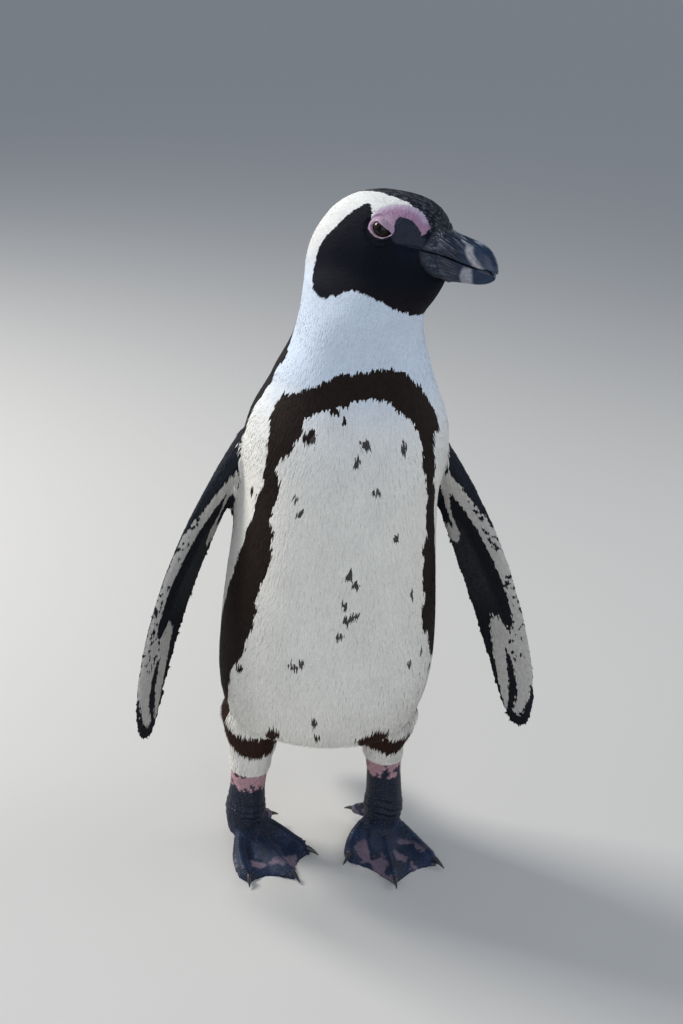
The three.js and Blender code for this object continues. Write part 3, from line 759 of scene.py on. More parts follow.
def foot_tones(points, _, seeds, label):
    """Blue-black toes and webs, their blue partly a painted sky reflection, mottled with pink low
    down and on the hind toe.
    """
    z = points[:, 2]
    mottle = noise(points * np.array([1, 1, 0.3]) + 40, 10) * 0.74 + noise(points + 23, 3) * 0.26
    rosy = smooth(mottle, 0.55, 0.62) * smooth(z, 9.5, 6.5)
    hind = (points[:, 1] > ANKLES[label][1] + 8) & (z > 7)
    rosy = np.where(hind, smooth(noise(points + 31, 4), 0.42, 0.5), rosy) * 0.85
    black = mixed(SHANK_BLACK, FOOT_BLACK_AND_SKY_SHEEN, smooth(z, 24, 14)) * (0.75 + 0.5 * seeds)
    black = black * (0.45 + 1.1 * noise(points + 70, 7)[:, None])
    return mixed(black, FOOT_PINK, rosy), np.zeros(len(points), bool)


def tones(points, normals, labels, ragged=None):
    """The colour of each point and whether it is dark plumage."""
    if ragged is None:
        ragged = np.zeros(len(points))
    seeds = noise(points + 11, 1.3)[:, None]
    colours = white_tones(points, seeds)
    dark = np.zeros(len(points), bool)

    def paint(part, painter, *rows, **own):
        """Colours one part of the bird. Rows hold a value for each of all the points."""
        if part.any():
            rows = [row[part] for row in (points, colours, seeds, *rows)]
            colours[part], dark[part] = painter(*rows, **own)

    on_head = (labels == HEAD) | ((labels == NECK) & (points[:, 2] > MASK_LOW))
    paint(on_head, head_tones)
    paint((labels <= TRUNK) & ~on_head, body_tones, normals)
    paint(labels == TAIL, tail_tones, normals)
    for label in WINGS:
        paint(labels == label, wing_tones, normals, ragged, label=label)
    for label in SOCKS:
        paint(labels == label, leg_tones, label=label)
    for label in (FOOT_L, FOOT_R):
        paint(labels == label, foot_tones, label=label)
    return colours, dark


# ------------------------------------------------------------------------- materials


def new_material(name):
    """An empty node material, its shader and a helper that adds nodes."""
    material = bpy.data.materials.new(name)
    material.use_nodes = True
    nodes, links = material.node_tree.nodes, material.node_tree.links
    shader = nodes["Principled BSDF"]

    def add(kind, **inputs):
        node = nodes.new(kind)
        for key, value in inputs.items():
            node.inputs[key.replace("_", " ")].default_value = value
        return node

    return material, shader, add, links.new


def grain_nodes(add, link, scale, low, high):
    """Place in the piece, fine noise there, and that noise spread from low to high."""
    place = add("ShaderNodeTexCoord").outputs["Object"]
    grain = add("ShaderNodeTexNoise", Scale=scale, Detail=4.0, Roughness=0.6)
    link(place, grain.inputs["Vector"])
    spread = add("ShaderNodeMapRange", From_Min=0.3, From_Max=0.7, To_Min=low, To_Max=high)
    link(grain.outputs["Fac"], spread.inputs["Value"])
    return place, grain.outputs["Fac"], spread.outputs["Result"]


def stored(add, name, kind="Fac"):
    """What is stored under a name at each point: a number, or a colour."""
    node = add("ShaderNodeAttribute")
    node.attribute_name = name
    return node.outputs[kind]


def toned(add, link, amount):
    """Each point's stored colour times an amount."""
    node = add("ShaderNodeVectorMath")
    node.operation = "SCALE"
    link(stored(add, "Tone", "Color"), node.inputs[0])
    link(amount, node.inputs["Scale"])
    return node.outputs["Vector"]


def add_relief(add, link, shader, height, strength, distance):
    """Small bumps in the light, without moving the surface."""
    relief = add("ShaderNodeBump", Strength=strength, Distance=distance)
    link(height, relief.inputs["Height"])
    link(relief.outputs["Normal"], shader.inputs["Normal"])


def grained(name, scale, low, high, roughness, bump, distance, specular):
    """A material that takes each point's stored colour and breaks it with fine grain."""
    material, shader, add, link = new_material(name)
    _, grain, spread = grain_nodes(add, link, scale, low, high)
    link(toned(add, link, spread), shader.inputs["Base Color"])
    if roughness is None:
        link(stored(add, "Rough"), shader.inputs["Roughness"])
    else:
        shader.inputs["Roughness"].default_value = roughness
    if bump:
        add_relief(add, link, shader, grain, bump, distance)
    shader.inputs["Specular IOR Level"].default_value = specular
    return material


FEATHER = grained("feather", 900.0, 0.93, 1.07, 0.7, 0, 0, 0.1)
SKIN = grained("bare_skin", 1400.0, 0.82, 1.18, None, 0.35, 0.0004, 0.28)
SCALE_SKIN = grained("foot_scales", 1200.0, 0.8, 1.2, 0.42, 0.2, 0.0002, 0.5)


def streaked_horn():
    """Horn with fine pale fibres along the bill, partly painted reflections on them, as strong as
    each point's Streak.
    """
    material, shader, add, link = new_material("bill_horn")
    place, _, spread = grain_nodes(add, link, 1500.0, 0.8, 1.2)
    axes = add("ShaderNodeCombineXYZ")
    ways = (unit(FORWARD - UP * 0.42) * 55, unit(UP + FORWARD * 0.42) * 760, LEFT * 620)
    for way, axis in zip(ways, "XYZ"):
        part = add("ShaderNodeVectorMath")
        part.operation = "DOT_PRODUCT"
        part.inputs[1].default_value = way
        link(place, part.inputs[0])
        link(part.outputs["Value"], axes.inputs[axis])
    fibre = add("ShaderNodeTexNoise", Scale=1.0, Detail=2.0, Roughness=0.5)
    link(axes.outputs["Vector"], fibre.inputs["Vector"])
    bright = add("ShaderNodeMapRange", From_Min=0.50, From_Max=0.66)
    link(fibre.outputs["Fac"], bright.inputs["Value"])
    amount = add("ShaderNodeMath")
    amount.operation = "MULTIPLY"
    link(bright.outputs["Result"], amount.inputs[0])
    link(stored(add, "Streak"), amount.inputs[1])
    blend = add("ShaderNodeMix")
    blend.data_type = "RGBA"
    link(amount.outputs["Value"], blend.inputs[0])
    link(toned(add, link, spread), blend.inputs[6])
    blend.inputs[7].default_value = FIBRE_GLINT_GREY
    link(blend.outputs[2], shader.inputs["Base Color"])
    link(stored(add, "Rough"), shader.inputs["Roughness"])
    add_relief(add, link, shader, fibre.outputs["Fac"], 0.4, 0.0004)
    shader.inputs["Specular IOR Level"].default_value = 0.4
    return material


BILL_HORN = streaked_horn()
EYE_BALL = grained("eyeball", 1800.0, 0.85, 1.15, 0.06, 0, 0, 0.17)


# ------------------------------------------------------------------------------ skin

SKIN_VOXEL, HORN_VOXEL, CLAW_VOXEL = 1.95, 0.62, 0.4  # how fine each new mesh starts
SMOOTHING = [26, 70, 130, 14, 10, 10, 30, 30, 5, 5]  # rounds for each part, head first
SOLE = 0.6  # skin lower than this lies on the floor
CROWN_COAT = 0.45  # how deep the coat is on the crown

# The eye's opening, from its rear to its front corner, in its own turned axes.
EYE_SPREAD = (1.09, 1.17)  # lengthwise and across
EYE_TURN = math.atan2(521 - 523.7, 25.5 - 11)  # its front corner lies lower
EYE_MIDDLE = (18.15, 521.7)
EYE_TOP = [(-7.35, 0), (-6.6, 1.9), (-5.6, 3.1), (-4.2, 3.8), (-2, 3.4), (2, 2.05), (7.35, 0)]
EYE_LOW = [
    (-7.35, 0), (-6.4, -1.5), (-5, -2.8), (-2.5, -4.0), (0.5, -4.4), (3, -3.9), (5.2, -2.5),
    (7.35, 0),
]

# The crease that runs back from the mouth, in side view.
GAPE = [(28, 512.2), (35, 513.4), (40, 513.2), (44, 512.7), (50, 511.4), (60, 508.5)]
TOE_BOWS = {"inner": -9.5, "middle": 0, "outer": 6.5}  # how far a toe bows outward
ANKLE_FOLDS = [(28.5, 0.9, 1.1), (34.5, 0.75, 0.9), (40.5, 0.5, 0.9)]  # height, depth, width


def lid_gap(f, z):
    """How far outside the eye's opening a point is, negative within it, and its place
    along the opening and above it."""
    x = f - EYE_MIDDLE[0]
    y = z - EYE_MIDDLE[1]
    s = (x * math.cos(EYE_TURN) + y * math.sin(EYE_TURN)) / EYE_SPREAD[0]
    t = (-x * math.sin(EYE_TURN) + y * math.cos(EYE_TURN)) / EYE_SPREAD[1]
    return outline_gap(EYE_TOP + EYE_LOW[-2:0:-1], s, t), s, t


def on_face(f, z):
    """True on the bare pink skin and the lores, in the head's side view."""
    return inside(PINK_SKIN, f, z) | inside(LORES, f, z)


def coat_depth(points, labels):
    """How far the skin lies inside the coat's surface."""
    f, left, z = head_frame(points)
    body = 0.6 + 0.9 * smooth(z, 500, 455) + 0.5 * smooth(z, 430, 385)
    depth = np.choose(labels, [body, body, body, 1.6, 0.7, 0.7, 0.0, 0.0, 0.0, 0.0])
    for label, sock in SOCKS.items():
        leg_depth = 2.6 * smooth(z, sock - 2, sock + 3) + 1.0 * smooth(z, sock + 4, sock + 20)
        depth = np.where(labels == label, leg_depth, depth)
    bare_face = on_face(f, z) & (labels == HEAD) & (np.abs(left) > FACE_SIDE)
    return np.where(bare_face, 0.25, depth)


def nearest_flesh(points):
    """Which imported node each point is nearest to."""
    spots, faces, owner = joined(FLESH)
    tree = BVHTree.FromPolygons(spots.tolist(), faces.tolist())
    found = [tree.find_nearest(Vector(point))[2] for point in points]
    return owner[np.array(found)]


def face_area(points):
    """True on the bare face and round it."""
    f, left, z = head_frame(points)
    return (np.abs(left) > 7) & (f > 5) & (f < 52) & (z > 506) & (z < 542)


def lid_area(points):
    """True along the rims of the lids."""
    f, left, z = head_frame(points)
    return (np.abs(left) > 14) & (np.abs(lid_gap(f, z)[0] - 0.4) < 1.8)


def feet_area(points):
    """True on the feet and lower shanks, except for the soles."""
    return (points[:, 2] < 46) & (points[:, 2] > 1.2)


def build_skin():
    """One closed skin over all the flesh, with lids, gape, toes and webs."""
    spots, faces, _ = joined(FLESH + ["eye_left", "eye_right"])
    mesh = largest_piece(voxel_mesh(spots, faces, SKIN_VOXEL))
    for area in (face_area, face_area, lid_area, feet_area):
        mesh = refined(mesh, area)
    points, triangles = mesh_arrays(mesh)
    pairs = edges_of(mesh)
    labels = nearest_flesh(points)

    fine = face_area(points) | feet_area(points)
    rounds = np.choose(labels, SMOOTHING).astype(float)
    rounds = np.where(fine & (labels == HEAD), 60, rounds)
    rounds = np.where(fine & (labels >= FOOT_L), 9, rounds)
    for label in WINGS:
        share, _, _ = wing_place(points, label)
        rounds = np.where(labels == label, 14 + 76 * smooth(share, 0.13, 0.03), rounds)
    rounds = relaxed(rounds, pairs, 8)
    keeps = relaxed(np.where((labels >= WING_L) | (labels == TAIL), 1.0, 0.0), pairs, 6)
    points = relaxed(points, pairs, rounds * (keeps < 0.5))
    points = relaxed(points, pairs, rounds * (keeps >= 0.5), keep=True)
    points[:, 2] = np.where(points[:, 2] < SOLE, 0.0, points[:, 2])

    points = shape_wings(points, pairs, labels)
    normals = point_normals(points, triangles)
    depth = relaxed(coat_depth(points, labels), pairs, 3)
    points = points - normals * depth[:, None]
    points = refit_crown(points, pairs, labels)
    points = shape_lids(points, labels)
    points = shape_gape(points, normals, labels)
    points = shape_feet(points, normals, labels)
    normals = point_normals(points, triangles)
    set_points(mesh, points)
    return mesh, points, triangles, normals, labels


def refit_crown(points, pairs, labels):
    """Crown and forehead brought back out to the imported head, less the coat's depth."""
    spots, faces, _ = joined(["head"])
    tree = BVHTree.FromPolygons(spots.tolist(), faces.tolist())
    near = smooth(points[:, 2], 520, 529) * (labels == HEAD)
    for index in np.flatnonzero(near > 0.01):
        spot, facing, _, _ = tree.find_nearest(Vector(points[index]))
        goal = np.array(spot) - CROWN_COAT * np.array(facing)
        points[index] += (goal - points[index]) * near[index]
    return relaxed(points, pairs, 10 * near)


def shape_wings(points, pairs, labels):
    """Even edges for the flippers."""
    near = np.zeros(len(points))
    for _ in range(3):
        for label in WINGS:
            part = labels == label
            lead = wing_axes(label)[3]
            along, ahead, _ = wing_place(points[part], label)
            front, rear = wing_edges(along)
            held = np.clip(ahead, rear + 0.9, np.maximum(front - 0.9, rear + 1))
            settled = smooth(along, 0.1, 0.16)
            points[part] += np.outer((held - ahead) * settled, lead)
            near[part] = np.maximum(smooth(ahead - rear, 6, 3), smooth(front - ahead, 6, 3))
            near[part] = np.maximum(near[part], smooth(along, 0.9, 0.95)) * settled
        points = relaxed(points, pairs, 6 * near)
    return points


def shape_lids(points, labels):
    """Lids that follow the ball of the eye, open on an almond with a fleshy rim."""
    f, left, z = head_frame(points)
    reach = np.abs(left)
    from_ball = np.hypot(f - EYE_FORWARD, z - EYE_Z)
    near = (from_ball < 14) & (reach > 12) & (labels == HEAD)
    gap, _, t = lid_gap(f, z)
    ball = EYE_LATERAL + np.sqrt(np.maximum(EYE_RADIUS**2 - from_ball**2, 0))
    lid = EYE_LATERAL + np.sqrt(np.maximum((EYE_RADIUS + 0.75) ** 2 - from_ball**2, 0))
    lid = np.where(from_ball < EYE_RADIUS + 0.6, lid, 0)
    outside = np.maximum(reach, lid) + 0.55 * bell(gap - 0.9, 0.75)
    outside += 0.35 * bell(gap - 4.1, 0.7) - 0.5 * bell(gap - 3.0, 0.6) * smooth(t, -1, 2.5)
    target = np.where(gap > 0, outside, ball - 2.6 * smooth(gap, 0.15, -0.55))
    target = np.where(gap > -0.15, np.maximum(target, ball), target)
    blend = smooth(gap, 8.0, 5.0)
    shift = np.where(near, (target - reach) * blend * np.sign(left), 0)
    return points + shift[:, None] * LEFT


def shape_gape(points, normals, labels):
    """The crease that runs back from the mouth, and fine wrinkles on bare skin."""
    f, left, z = head_frame(points)
    on_side = (labels == HEAD) & (np.abs(left) > 8)
    gap, along = distance_to(GAPE, f, z)
    depth = 0.9 * bell(gap, 0.75) * smooth(along, 0, 0.25)
    lip = 0.35 * bell(gap - 1.7, 0.9) * smooth(along, 0.1, 0.4)
    wrinkle = (noise(np.stack([f, left * 0.6, z], 1), 1.1) - 0.5) * 0.35 * on_face(f, z)
    move = np.where(on_side, lip - depth + wrinkle, 0)
    under = (labels == HEAD) * smooth(bill_side(f, np.abs(left), z), 0.2, 1.8)
    move = move * (1 - under) - 1.5 * under
    return points + normals * move[:, None]


def toe_lines(label):
    """Each toe's line on the floor, from the heel to where its claw starts."""
    side, sign = ("left", 1) if label == FOOT_L else ("right", -1)
    heel = np.array(ANKLES[label]) + np.array([0.0, 6.0])
    shares = np.linspace(0, 1, 9)
    lines = []
    for toe, bow in TOE_BOWS.items():
        claw = to_bird(middle_of(f"claw_{side}_{toe}"))[:2]
        reach = np.linalg.norm(claw - heel)
        way = (claw - heel) / reach
        aside = np.array([-way[1], way[0]]) * sign
        line = heel + np.outer(shares * (reach - 3), way)
        line += np.outer(4 * shares * (1 - shares) * bow, aside)
        lines.append([tuple(spot) for spot in line])
    return lines


def shape_feet(points, normals, labels):
    """Shallow folds in the webs and round the ankles."""
    move = np.zeros(len(points))
    for label in (FOOT_L, FOOT_R):
        part = labels == label
        x, y, z = points[part].T
        gaps = [distance_to(line, x, y)[0] for line in toe_lines(label)]
        web = smooth(np.minimum.reduce(gaps), 5, 8) * smooth(z, 2, 3)
        folds = (noise(points[part] * np.array([1, 1, 0.4]), 3.2) - 0.5) * 0.9
        move[part] = web * folds
    for label in SOCKS:
        part = labels == label
        turn = around_ankle(points[part], label)
        z = points[part, 2] + 1.2 * np.sin(turn * 2 + label) + (noise(points[part], 7) - 0.5) * 2
        for level, deep, wide in ANKLE_FOLDS:
            move[part] -= deep * bell(z - level, wide)
            move[part] += 0.5 * deep * bell(z - level - 2.3, 1.5 * wide)
    return points + normals * move[:, None]


skin_mesh, skin_points, skin_triangles, skin_normals, skin_labels = build_skin()
skin_tones, skin_dark = tones(skin_points, skin_normals, skin_labels)


# ------------------------------------------------------------------- coat of feathers

GRID = 8192  # cells along each side of the space that feathers are sorted into
TRIES = 4  # places tried for each that the cells have room for
CORNERS = 7  # of each feather and each scale
SHOULDER_LIE = np.array([0.0, 0.1, -1.0])  # how feathers lie where a flipper starts

# Where each row of random draws starts. A part's or foot's label is added to its own.
COAT_SEED, SCALE_SEED, BREAST_SEED = 5, 8, 110
JITTER_SEED, PART_SEED, FOOT_SEED = 60, 100, 300

# The corners of a feather's blade: 0 and 1 at its root and 2 their ridge, 3 and 4 at its
# middle and 5 their ridge, and 6 its tip. Shade is painted into its colour, root to tip:
# painted shade at the root, which other feathers cover, and a painted highlight at the tip.
BLADE_FACES = [
    (0, 2, 5), (0, 5, 3), (2, 1, 4), (2, 4, 5), (0, 3, 4), (0, 4, 1), (0, 1, 2), (3, 5, 6),
    (5, 4, 6), (3, 6, 4),
]
BLADE_SHADE = np.array([-0.14, -0.14, -0.07, -0.04, -0.04, 0.0, 0.06])

# A scale's corners: 0 to 5 round its rim and 6 at its top. Its rim is painted darker,
# as shade, and its top lighter, as a painted highlight.
SCUTE_FACES = [(6, (k + 1) % 6, k) for k in range(6)] + [(0, k, k + 1) for k in range(1, 5)]
SCUTE_SHADE = np.array([0.8] * 6 + [1.12])

# How far apart feathers stand, in millimetres, and above which height on the trunk they
# stand closer.
COAT_CELLS = {
    HEAD: 0.95, NECK: 1.24, TRUNK: 1.55, TAIL: 2.6, WING_L: 1.62, WING_R: 1.62, LEG_L: 1.35,
    LEG_R: 1.35,
}
BREAST_LOW, BREAST_CELL = 372, 1.4

# The fringe of each flipper: how far it leans back, and its longest feathers in mm.
FRINGES = {WING_L: (math.radians(36), 2.6), WING_R: (math.radians(44), 3.4)}

# Rings of scales on the shanks: the lowest, from one to the next, and how many round.
SHANK_LOW, RING_PITCH, RING_SCALES = 25, 1.8, 42
WEB_CELL = 1.45  # how far apart the small scales stand
PLATES_FROM = 0.36  # the share of a toe's length where its plates start

# Half length, half width, height and bend of each kind of scale, in millimetres.
SHANK_SCALE = (0.95, 1.2, 0.3, 0.03)
TOE_PLATE = (1.4, 2.0, 0.24, 0.09)
WEB_GRAIN = np.array([0.72, 0.84, 0.16, 0.0])
RAISED_GRAIN = np.array([0.92, 1.06, 0.38, 0.05])

# A blade's or scale's own small patch on the bake map.
PATCH = np.array([(0, 0), (1, 0), (0.5, 0.2), (0, 0.6), (1, 0.6), (0.5, 0.7), (0.5, 1)])
PATCH_SIZE = 0.003


def scatter(chosen, cell, seed):
    """Places spread evenly over the chosen faces of the skin, about a cell apart."""
    faces = skin_triangles[chosen]
    corners = skin_points[faces]
    sides = corners[:, 1:] - corners[:, :1]
    area = np.linalg.norm(np.cross(sides[:, 0], sides[:, 1]), axis=1)
    chance = np.random.default_rng(seed)
    total = int(area.sum() / 2 / cell**2 * TRIES)
    pick = chance.choice(len(faces), total, p=area / area.sum())
    u, v = chance.random((2, total))
    over = u + v > 1
    u, v = np.where(over, 1 - u, u), np.where(over, 1 - v, v)
    shares = np.stack([1 - u - v, u, v], 1)
    points = np.einsum("nk,nkc->nc", shares, corners[pick])
    normals = unit(np.einsum("nk,nkc->nc", shares, skin_normals[faces[pick]]))
    cells = np.floor(points / cell).astype(np.int64) + GRID // 2
    key = (cells[:, 0] * GRID + cells[:, 1]) * GRID + cells[:, 2]
    _, first = np.unique(key, return_index=True)
    first.sort()
    return points[first], normals[first], skin_labels[faces[pick[first], 0]]


def level_with(normals, lie):
    """Directions laid flat on the surface."""
    return unit(lie - np.einsum("nk,nk->n", lie, normals)[:, None] * normals)


def coat_lie(points, normals, labels):
    """The way the feathers lie: back over the head, down the body, along the wings."""
    f, _, z = head_frame(points)
    lie = np.tile(np.array([0.0, 0.0, -1.0]), (len(points), 1))
    back = smooth(z, 462, 518) * smooth(f, -52, -22)
    fall = 1 - 0.8 * smooth(z, 500, 535) * smooth(f, -44, -15)
    on_head = (labels == HEAD)[:, None]
    lie = np.where(on_head, -FORWARD * back[:, None] + lie * fall[:, None], lie)
    rearward = np.outer(0.16 + 0.35 * smooth(z, 170, 110), [0.0, 1.0, 0.0])
    lie = np.where((labels == TRUNK)[:, None], lie + rearward, lie)
    lie = np.where((labels == TAIL)[:, None], TAIL_WAY, lie)
    for label in WINGS:
        _, down, _, lead, _ = wing_axes(label)
        share, ahead, _ = wing_place(points, label)
        front, rear = wing_edges(share)
        next_front, next_rear = wing_edges(share + 0.02)
        across = np.clip((ahead - rear) / np.maximum(front - rear, 1), 0, 1)
        slope = (next_rear - rear) * (1 - across) + (next_front - front) * across
        slope = np.clip(slope / (0.02 * WING_LENGTH) - 0.12, -1.5, 0)
        along = mixed(down + np.outer(slope, lead), SHOULDER_LIE, smooth(share, 0.06, -0.06))
        lie = np.where((labels == label)[:, None], along, lie)
    on_wing = (labels == WING_L) | (labels == WING_R)
    flow = (noise(points, 15) - 0.5) * np.where(on_wing, 0.12, 0.45)
    side = np.cross(normals, unit(lie))
    return level_with(normals, unit(lie) + side * flow[:, None])


def vanes(points, normals, lie, length, width, lift, bend, chance):
    """Closed blades with a narrow root, a ridged middle and a fine tip, seven points
    each. Bend is how fast the skin falls away under them."""
    count = len(points)
    ridge = normals * (width * 0.075)[:, None]
    length, width, lift, bend = (value[:, None] for value in (length, width, lift, bend))
    turn = chance.normal(0, 0.07, count)[:, None]
    lie = unit(lie + np.cross(lie, normals) * turn)
    tilt = chance.normal(0, 0.045, count)[:, None]
    side = unit(np.cross(lie, normals) + normals * tilt)
    root = points - normals * 0.18
    middle = points + lie * length * 0.45 + normals * (lift * 0.62 - bend * (length * 0.45) ** 2)
    tip = points + lie * length + normals * (lift - bend * length**2)
    half = side * width / 2
    shape = [root - half * 0.6, root + half * 0.6, root + ridge]
    shape += [middle - half, middle + half, middle + ridge, tip]
    return np.stack(shape, 1)


def scutes(points, normals, lie, length, width, height, bend):
    """Closed six-sided domes, seven points each, for the scales of feet and shanks."""
    side = np.cross(lie, normals)
    shape = []
    for k in range(6):
        angle = math.pi * k / 3
        across = width * math.sin(angle)
        spot = points + lie * (length * math.cos(angle))[:, None]
        drop = 0.15 + across**2 * bend
        shape.append(spot + side * across[:, None] - normals * drop[:, None])
    shape.append(points + normals * height[:, None])
    return np.stack(shape, 1)


def skin_hits(starts, ways, wanted):
    """Where rays from inside meet the skin of the wanted parts: points, normals, found."""
    chosen = np.isin(skin_labels[skin_triangles[:, 0]], wanted)
    faces = skin_triangles[chosen]
    tree = BVHTree.FromPolygons(skin_points.tolist(), faces.tolist())
    hits, facing, found = [], [], []
    for start, way in zip(starts, ways):
        spot, _, index, _ = tree.ray_cast(Vector(start), Vector(way), 40)
        found.append(spot is not None)
        if found[-1]:
            hits.append(spot[:])
            facing.append(skin_normals[faces[index]].mean(0))
    return np.array(hits), unit(np.array(facing)), np.array(found)


def coat_piece(name, solids, faces, shades, colours, place, slot, material):
    """One mesh of feathers or scales, seven points each, with colours and a bake map."""
    starts = np.arange(len(solids))[:, None, None] * CORNERS
    triangles = (starts + np.array(faces)).reshape(-1, 3)
    mesh = plain_mesh(name, solids.reshape(-1, 3), triangles)
    give_tone(mesh, (colours[:, None, :] * shades[:, :, None]).reshape(-1, 3))
    centre = np.clip(place, 0, 1) * 0.98 + 0.01
    corner = (centre[:, None, :] + (PATCH - 0.5) * PATCH_SIZE).reshape(-1, 2)
    layer = mesh.uv_layers.new(name="OFBake")
    layer.data.foreach_set("uv", corner[triangles.ravel()].astype(np.float32).ravel())
    show(name, mesh, material, smooth_shade=False)


# Height, then length, width and lift of the feathers in millimetres.
PLUMAGE = [
    (80, 9.0, 1.6, 0.62), (300, 9.0, 1.75, 0.42), (385, 8.2, 1.7, 0.38), (430, 6.4, 1.5, 0.31),
    (465, 5.0, 1.3, 0.25), (482, 3.9, 1.12, 0.21), (560, 3.6, 1.05, 0.18),
]


def feather_size(points, labels, chance):
    """Length, width and lift of each feather in millimetres."""
    f, _, z = head_frame(points)
    size, wide, lift = (read(PLUMAGE, z, k) for k in (1, 2, 3))
    shaggy = (labels == TRUNK) * smooth(z, 200, 125)
    face = (labels == HEAD) * smooth(f, 12, 45)
    size = (size + 4.6 * shaggy) * (1 - 0.35 * face)
    wide = (wide - 0.25 * shaggy) * (1 - 0.12 * face)
    lift = lift + 0.9 * shaggy

    def give(part, *own):
        """The three sizes, with a part's own values put in."""
        return [np.where(part, new, old) for new, old in zip(own, (size, wide, lift))]

    for label in WINGS:
        share, ahead, _ = wing_place(points, label)
        front, rear = wing_edges(share)
        near_edge = np.maximum(smooth(ahead - rear, 8, 3), smooth(front - ahead, 7, 2))
        near_edge = np.maximum(near_edge, smooth(share, 0.88, 0.97))
        longer = 4.2 - 1.8 * near_edge + 1.2 * smooth(share, 0.12, 0.0)
        own = (longer, 1.45 - 0.25 * near_edge, 0.34 - 0.1 * near_edge)
        size, wide, lift = give(labels == label, *own)
    size, wide, lift = give((labels == LEG_L) | (labels == LEG_R), 9.2, 1.3, 1.7)
    size = size * chance.uniform(0.78, 1.22, len(points))
    wide = wide * chance.uniform(0.82, 1.18, len(points))
    lift = lift * chance.uniform(0.65, 1.35, len(points))
    left_over = TAIL_LENGTH - tail_share(points) * TAIL_LENGTH
    quill = chance.uniform(0.86, 1.0, len(points)) * left_over
    return give(labels == TAIL, np.clip(quill, 4, 36), 3.4, 0.8)


def bare(points, labels):
    """Where no feathers grow."""
    f, left, z = head_frame(points)
    side = np.abs(left)
    face = (on_face(f, z) | (lid_gap(f, z)[0] < 1.35)) & (side > FACE_SIDE)
    found = (labels == HEAD) & (face | (bill_side(f, side, z) > -0.6))
    for label, sock in SOCKS.items():
        found |= (labels == label) & (z < sock + 7)
    return found | (labels >= FOOT_L)


def polar_place(points):
    """A place on an unwrap of the head: turned round its forward axis."""
    f, left, z = head_frame(points)
    rise = z - 497
    polar = np.degrees(np.arctan2(np.hypot(left, rise), f))
    turn = np.degrees(np.arctan2(np.abs(left), rise))
    return np.stack([polar / 180, turn / 180], 1)


def coat_place(points, normals, labels):
    """Each root's place on an unwrap of the skin's own shape, part by part."""
    place = polar_place(points)

    def lay(part, across, up):
        """Gives a part its own place on the map."""
        place[part] = np.stack([across, up], 1)[part]

    angle = body_angle(points)
    z = points[:, 2]
    lay(labels == TRUNK, ((angle + 180) % 60) / 60, (z - 74) / 336)
    lay(labels == NECK, (angle + 180) / 360, (z - 405) / 75)
    for label in WINGS:
        share, ahead, _ = wing_place(points, label)
        outer = normals @ wing_axes(label)[4] >= 0
        lay(labels == label, (share + 0.16) / 1.2, (ahead + 44) / 84 * 0.48 + outer * 0.5)
    under = normals[:, 2] < 0
    rows = (points[:, 1] - 40) / 90 * 0.48 + under * 0.5
    lay(labels == TAIL, (points[:, 0] + 32) / 64, rows)
    for label, start in ((LEG_L, 0.5), (LEG_R, 0)):
        around = (np.degrees(around_ankle(points, label)) + 180) / 360
        lay(labels == label, around * 0.48 + start, (z - 60) / 90)
    return place


def wing_fringe(label, chance):
    """The stiff fringe along a flipper's trailing edge, as one row of values for each
    of what grow_coat keeps of a feather."""
    root, down, outward, lead, face = wing_axes(label)
    lean, longest = FRINGES[label]
    share = np.repeat(np.arange(0.10, 0.975, 1.3 / WING_LENGTH), 3)
    share = share + chance.normal(0, 0.4 / WING_LENGTH, len(share))
    deep = np.tile([-0.9, 0.0, 0.9], len(share) // 3)
    starts = root + np.outer(share * WING_LENGTH, down)
    starts += np.outer(wing_bend(share, label), outward)
    starts += np.outer(wing_edges(share)[1] + 9, lead) + np.outer(deep, face)
    hits, _, found = skin_hits(starts, np.tile(-lead, (len(share), 1)), [label])
    share = share[found]
    count = len(share)
    lie = np.tile(unit(down * math.cos(lean) - lead * math.sin(lean)), (count, 1))
    comb = smooth(share, 0.1, 0.3) * smooth(share, 0.97, 0.8)
    length = (1.9 + (longest - 1.9) * comb) * chance.uniform(0.85, 1.15, count)
    colours = WING_BLACK * chance.uniform(0.8, 1.5, (count, 1))
    width, lift = np.full(count, 1.2), chance.normal(0, 0.12, count)
    normals = np.tile(-face, (count, 1))
    return hits - lie * 1.2, normals, np.full(count, label), lie, length, width, lift, colours


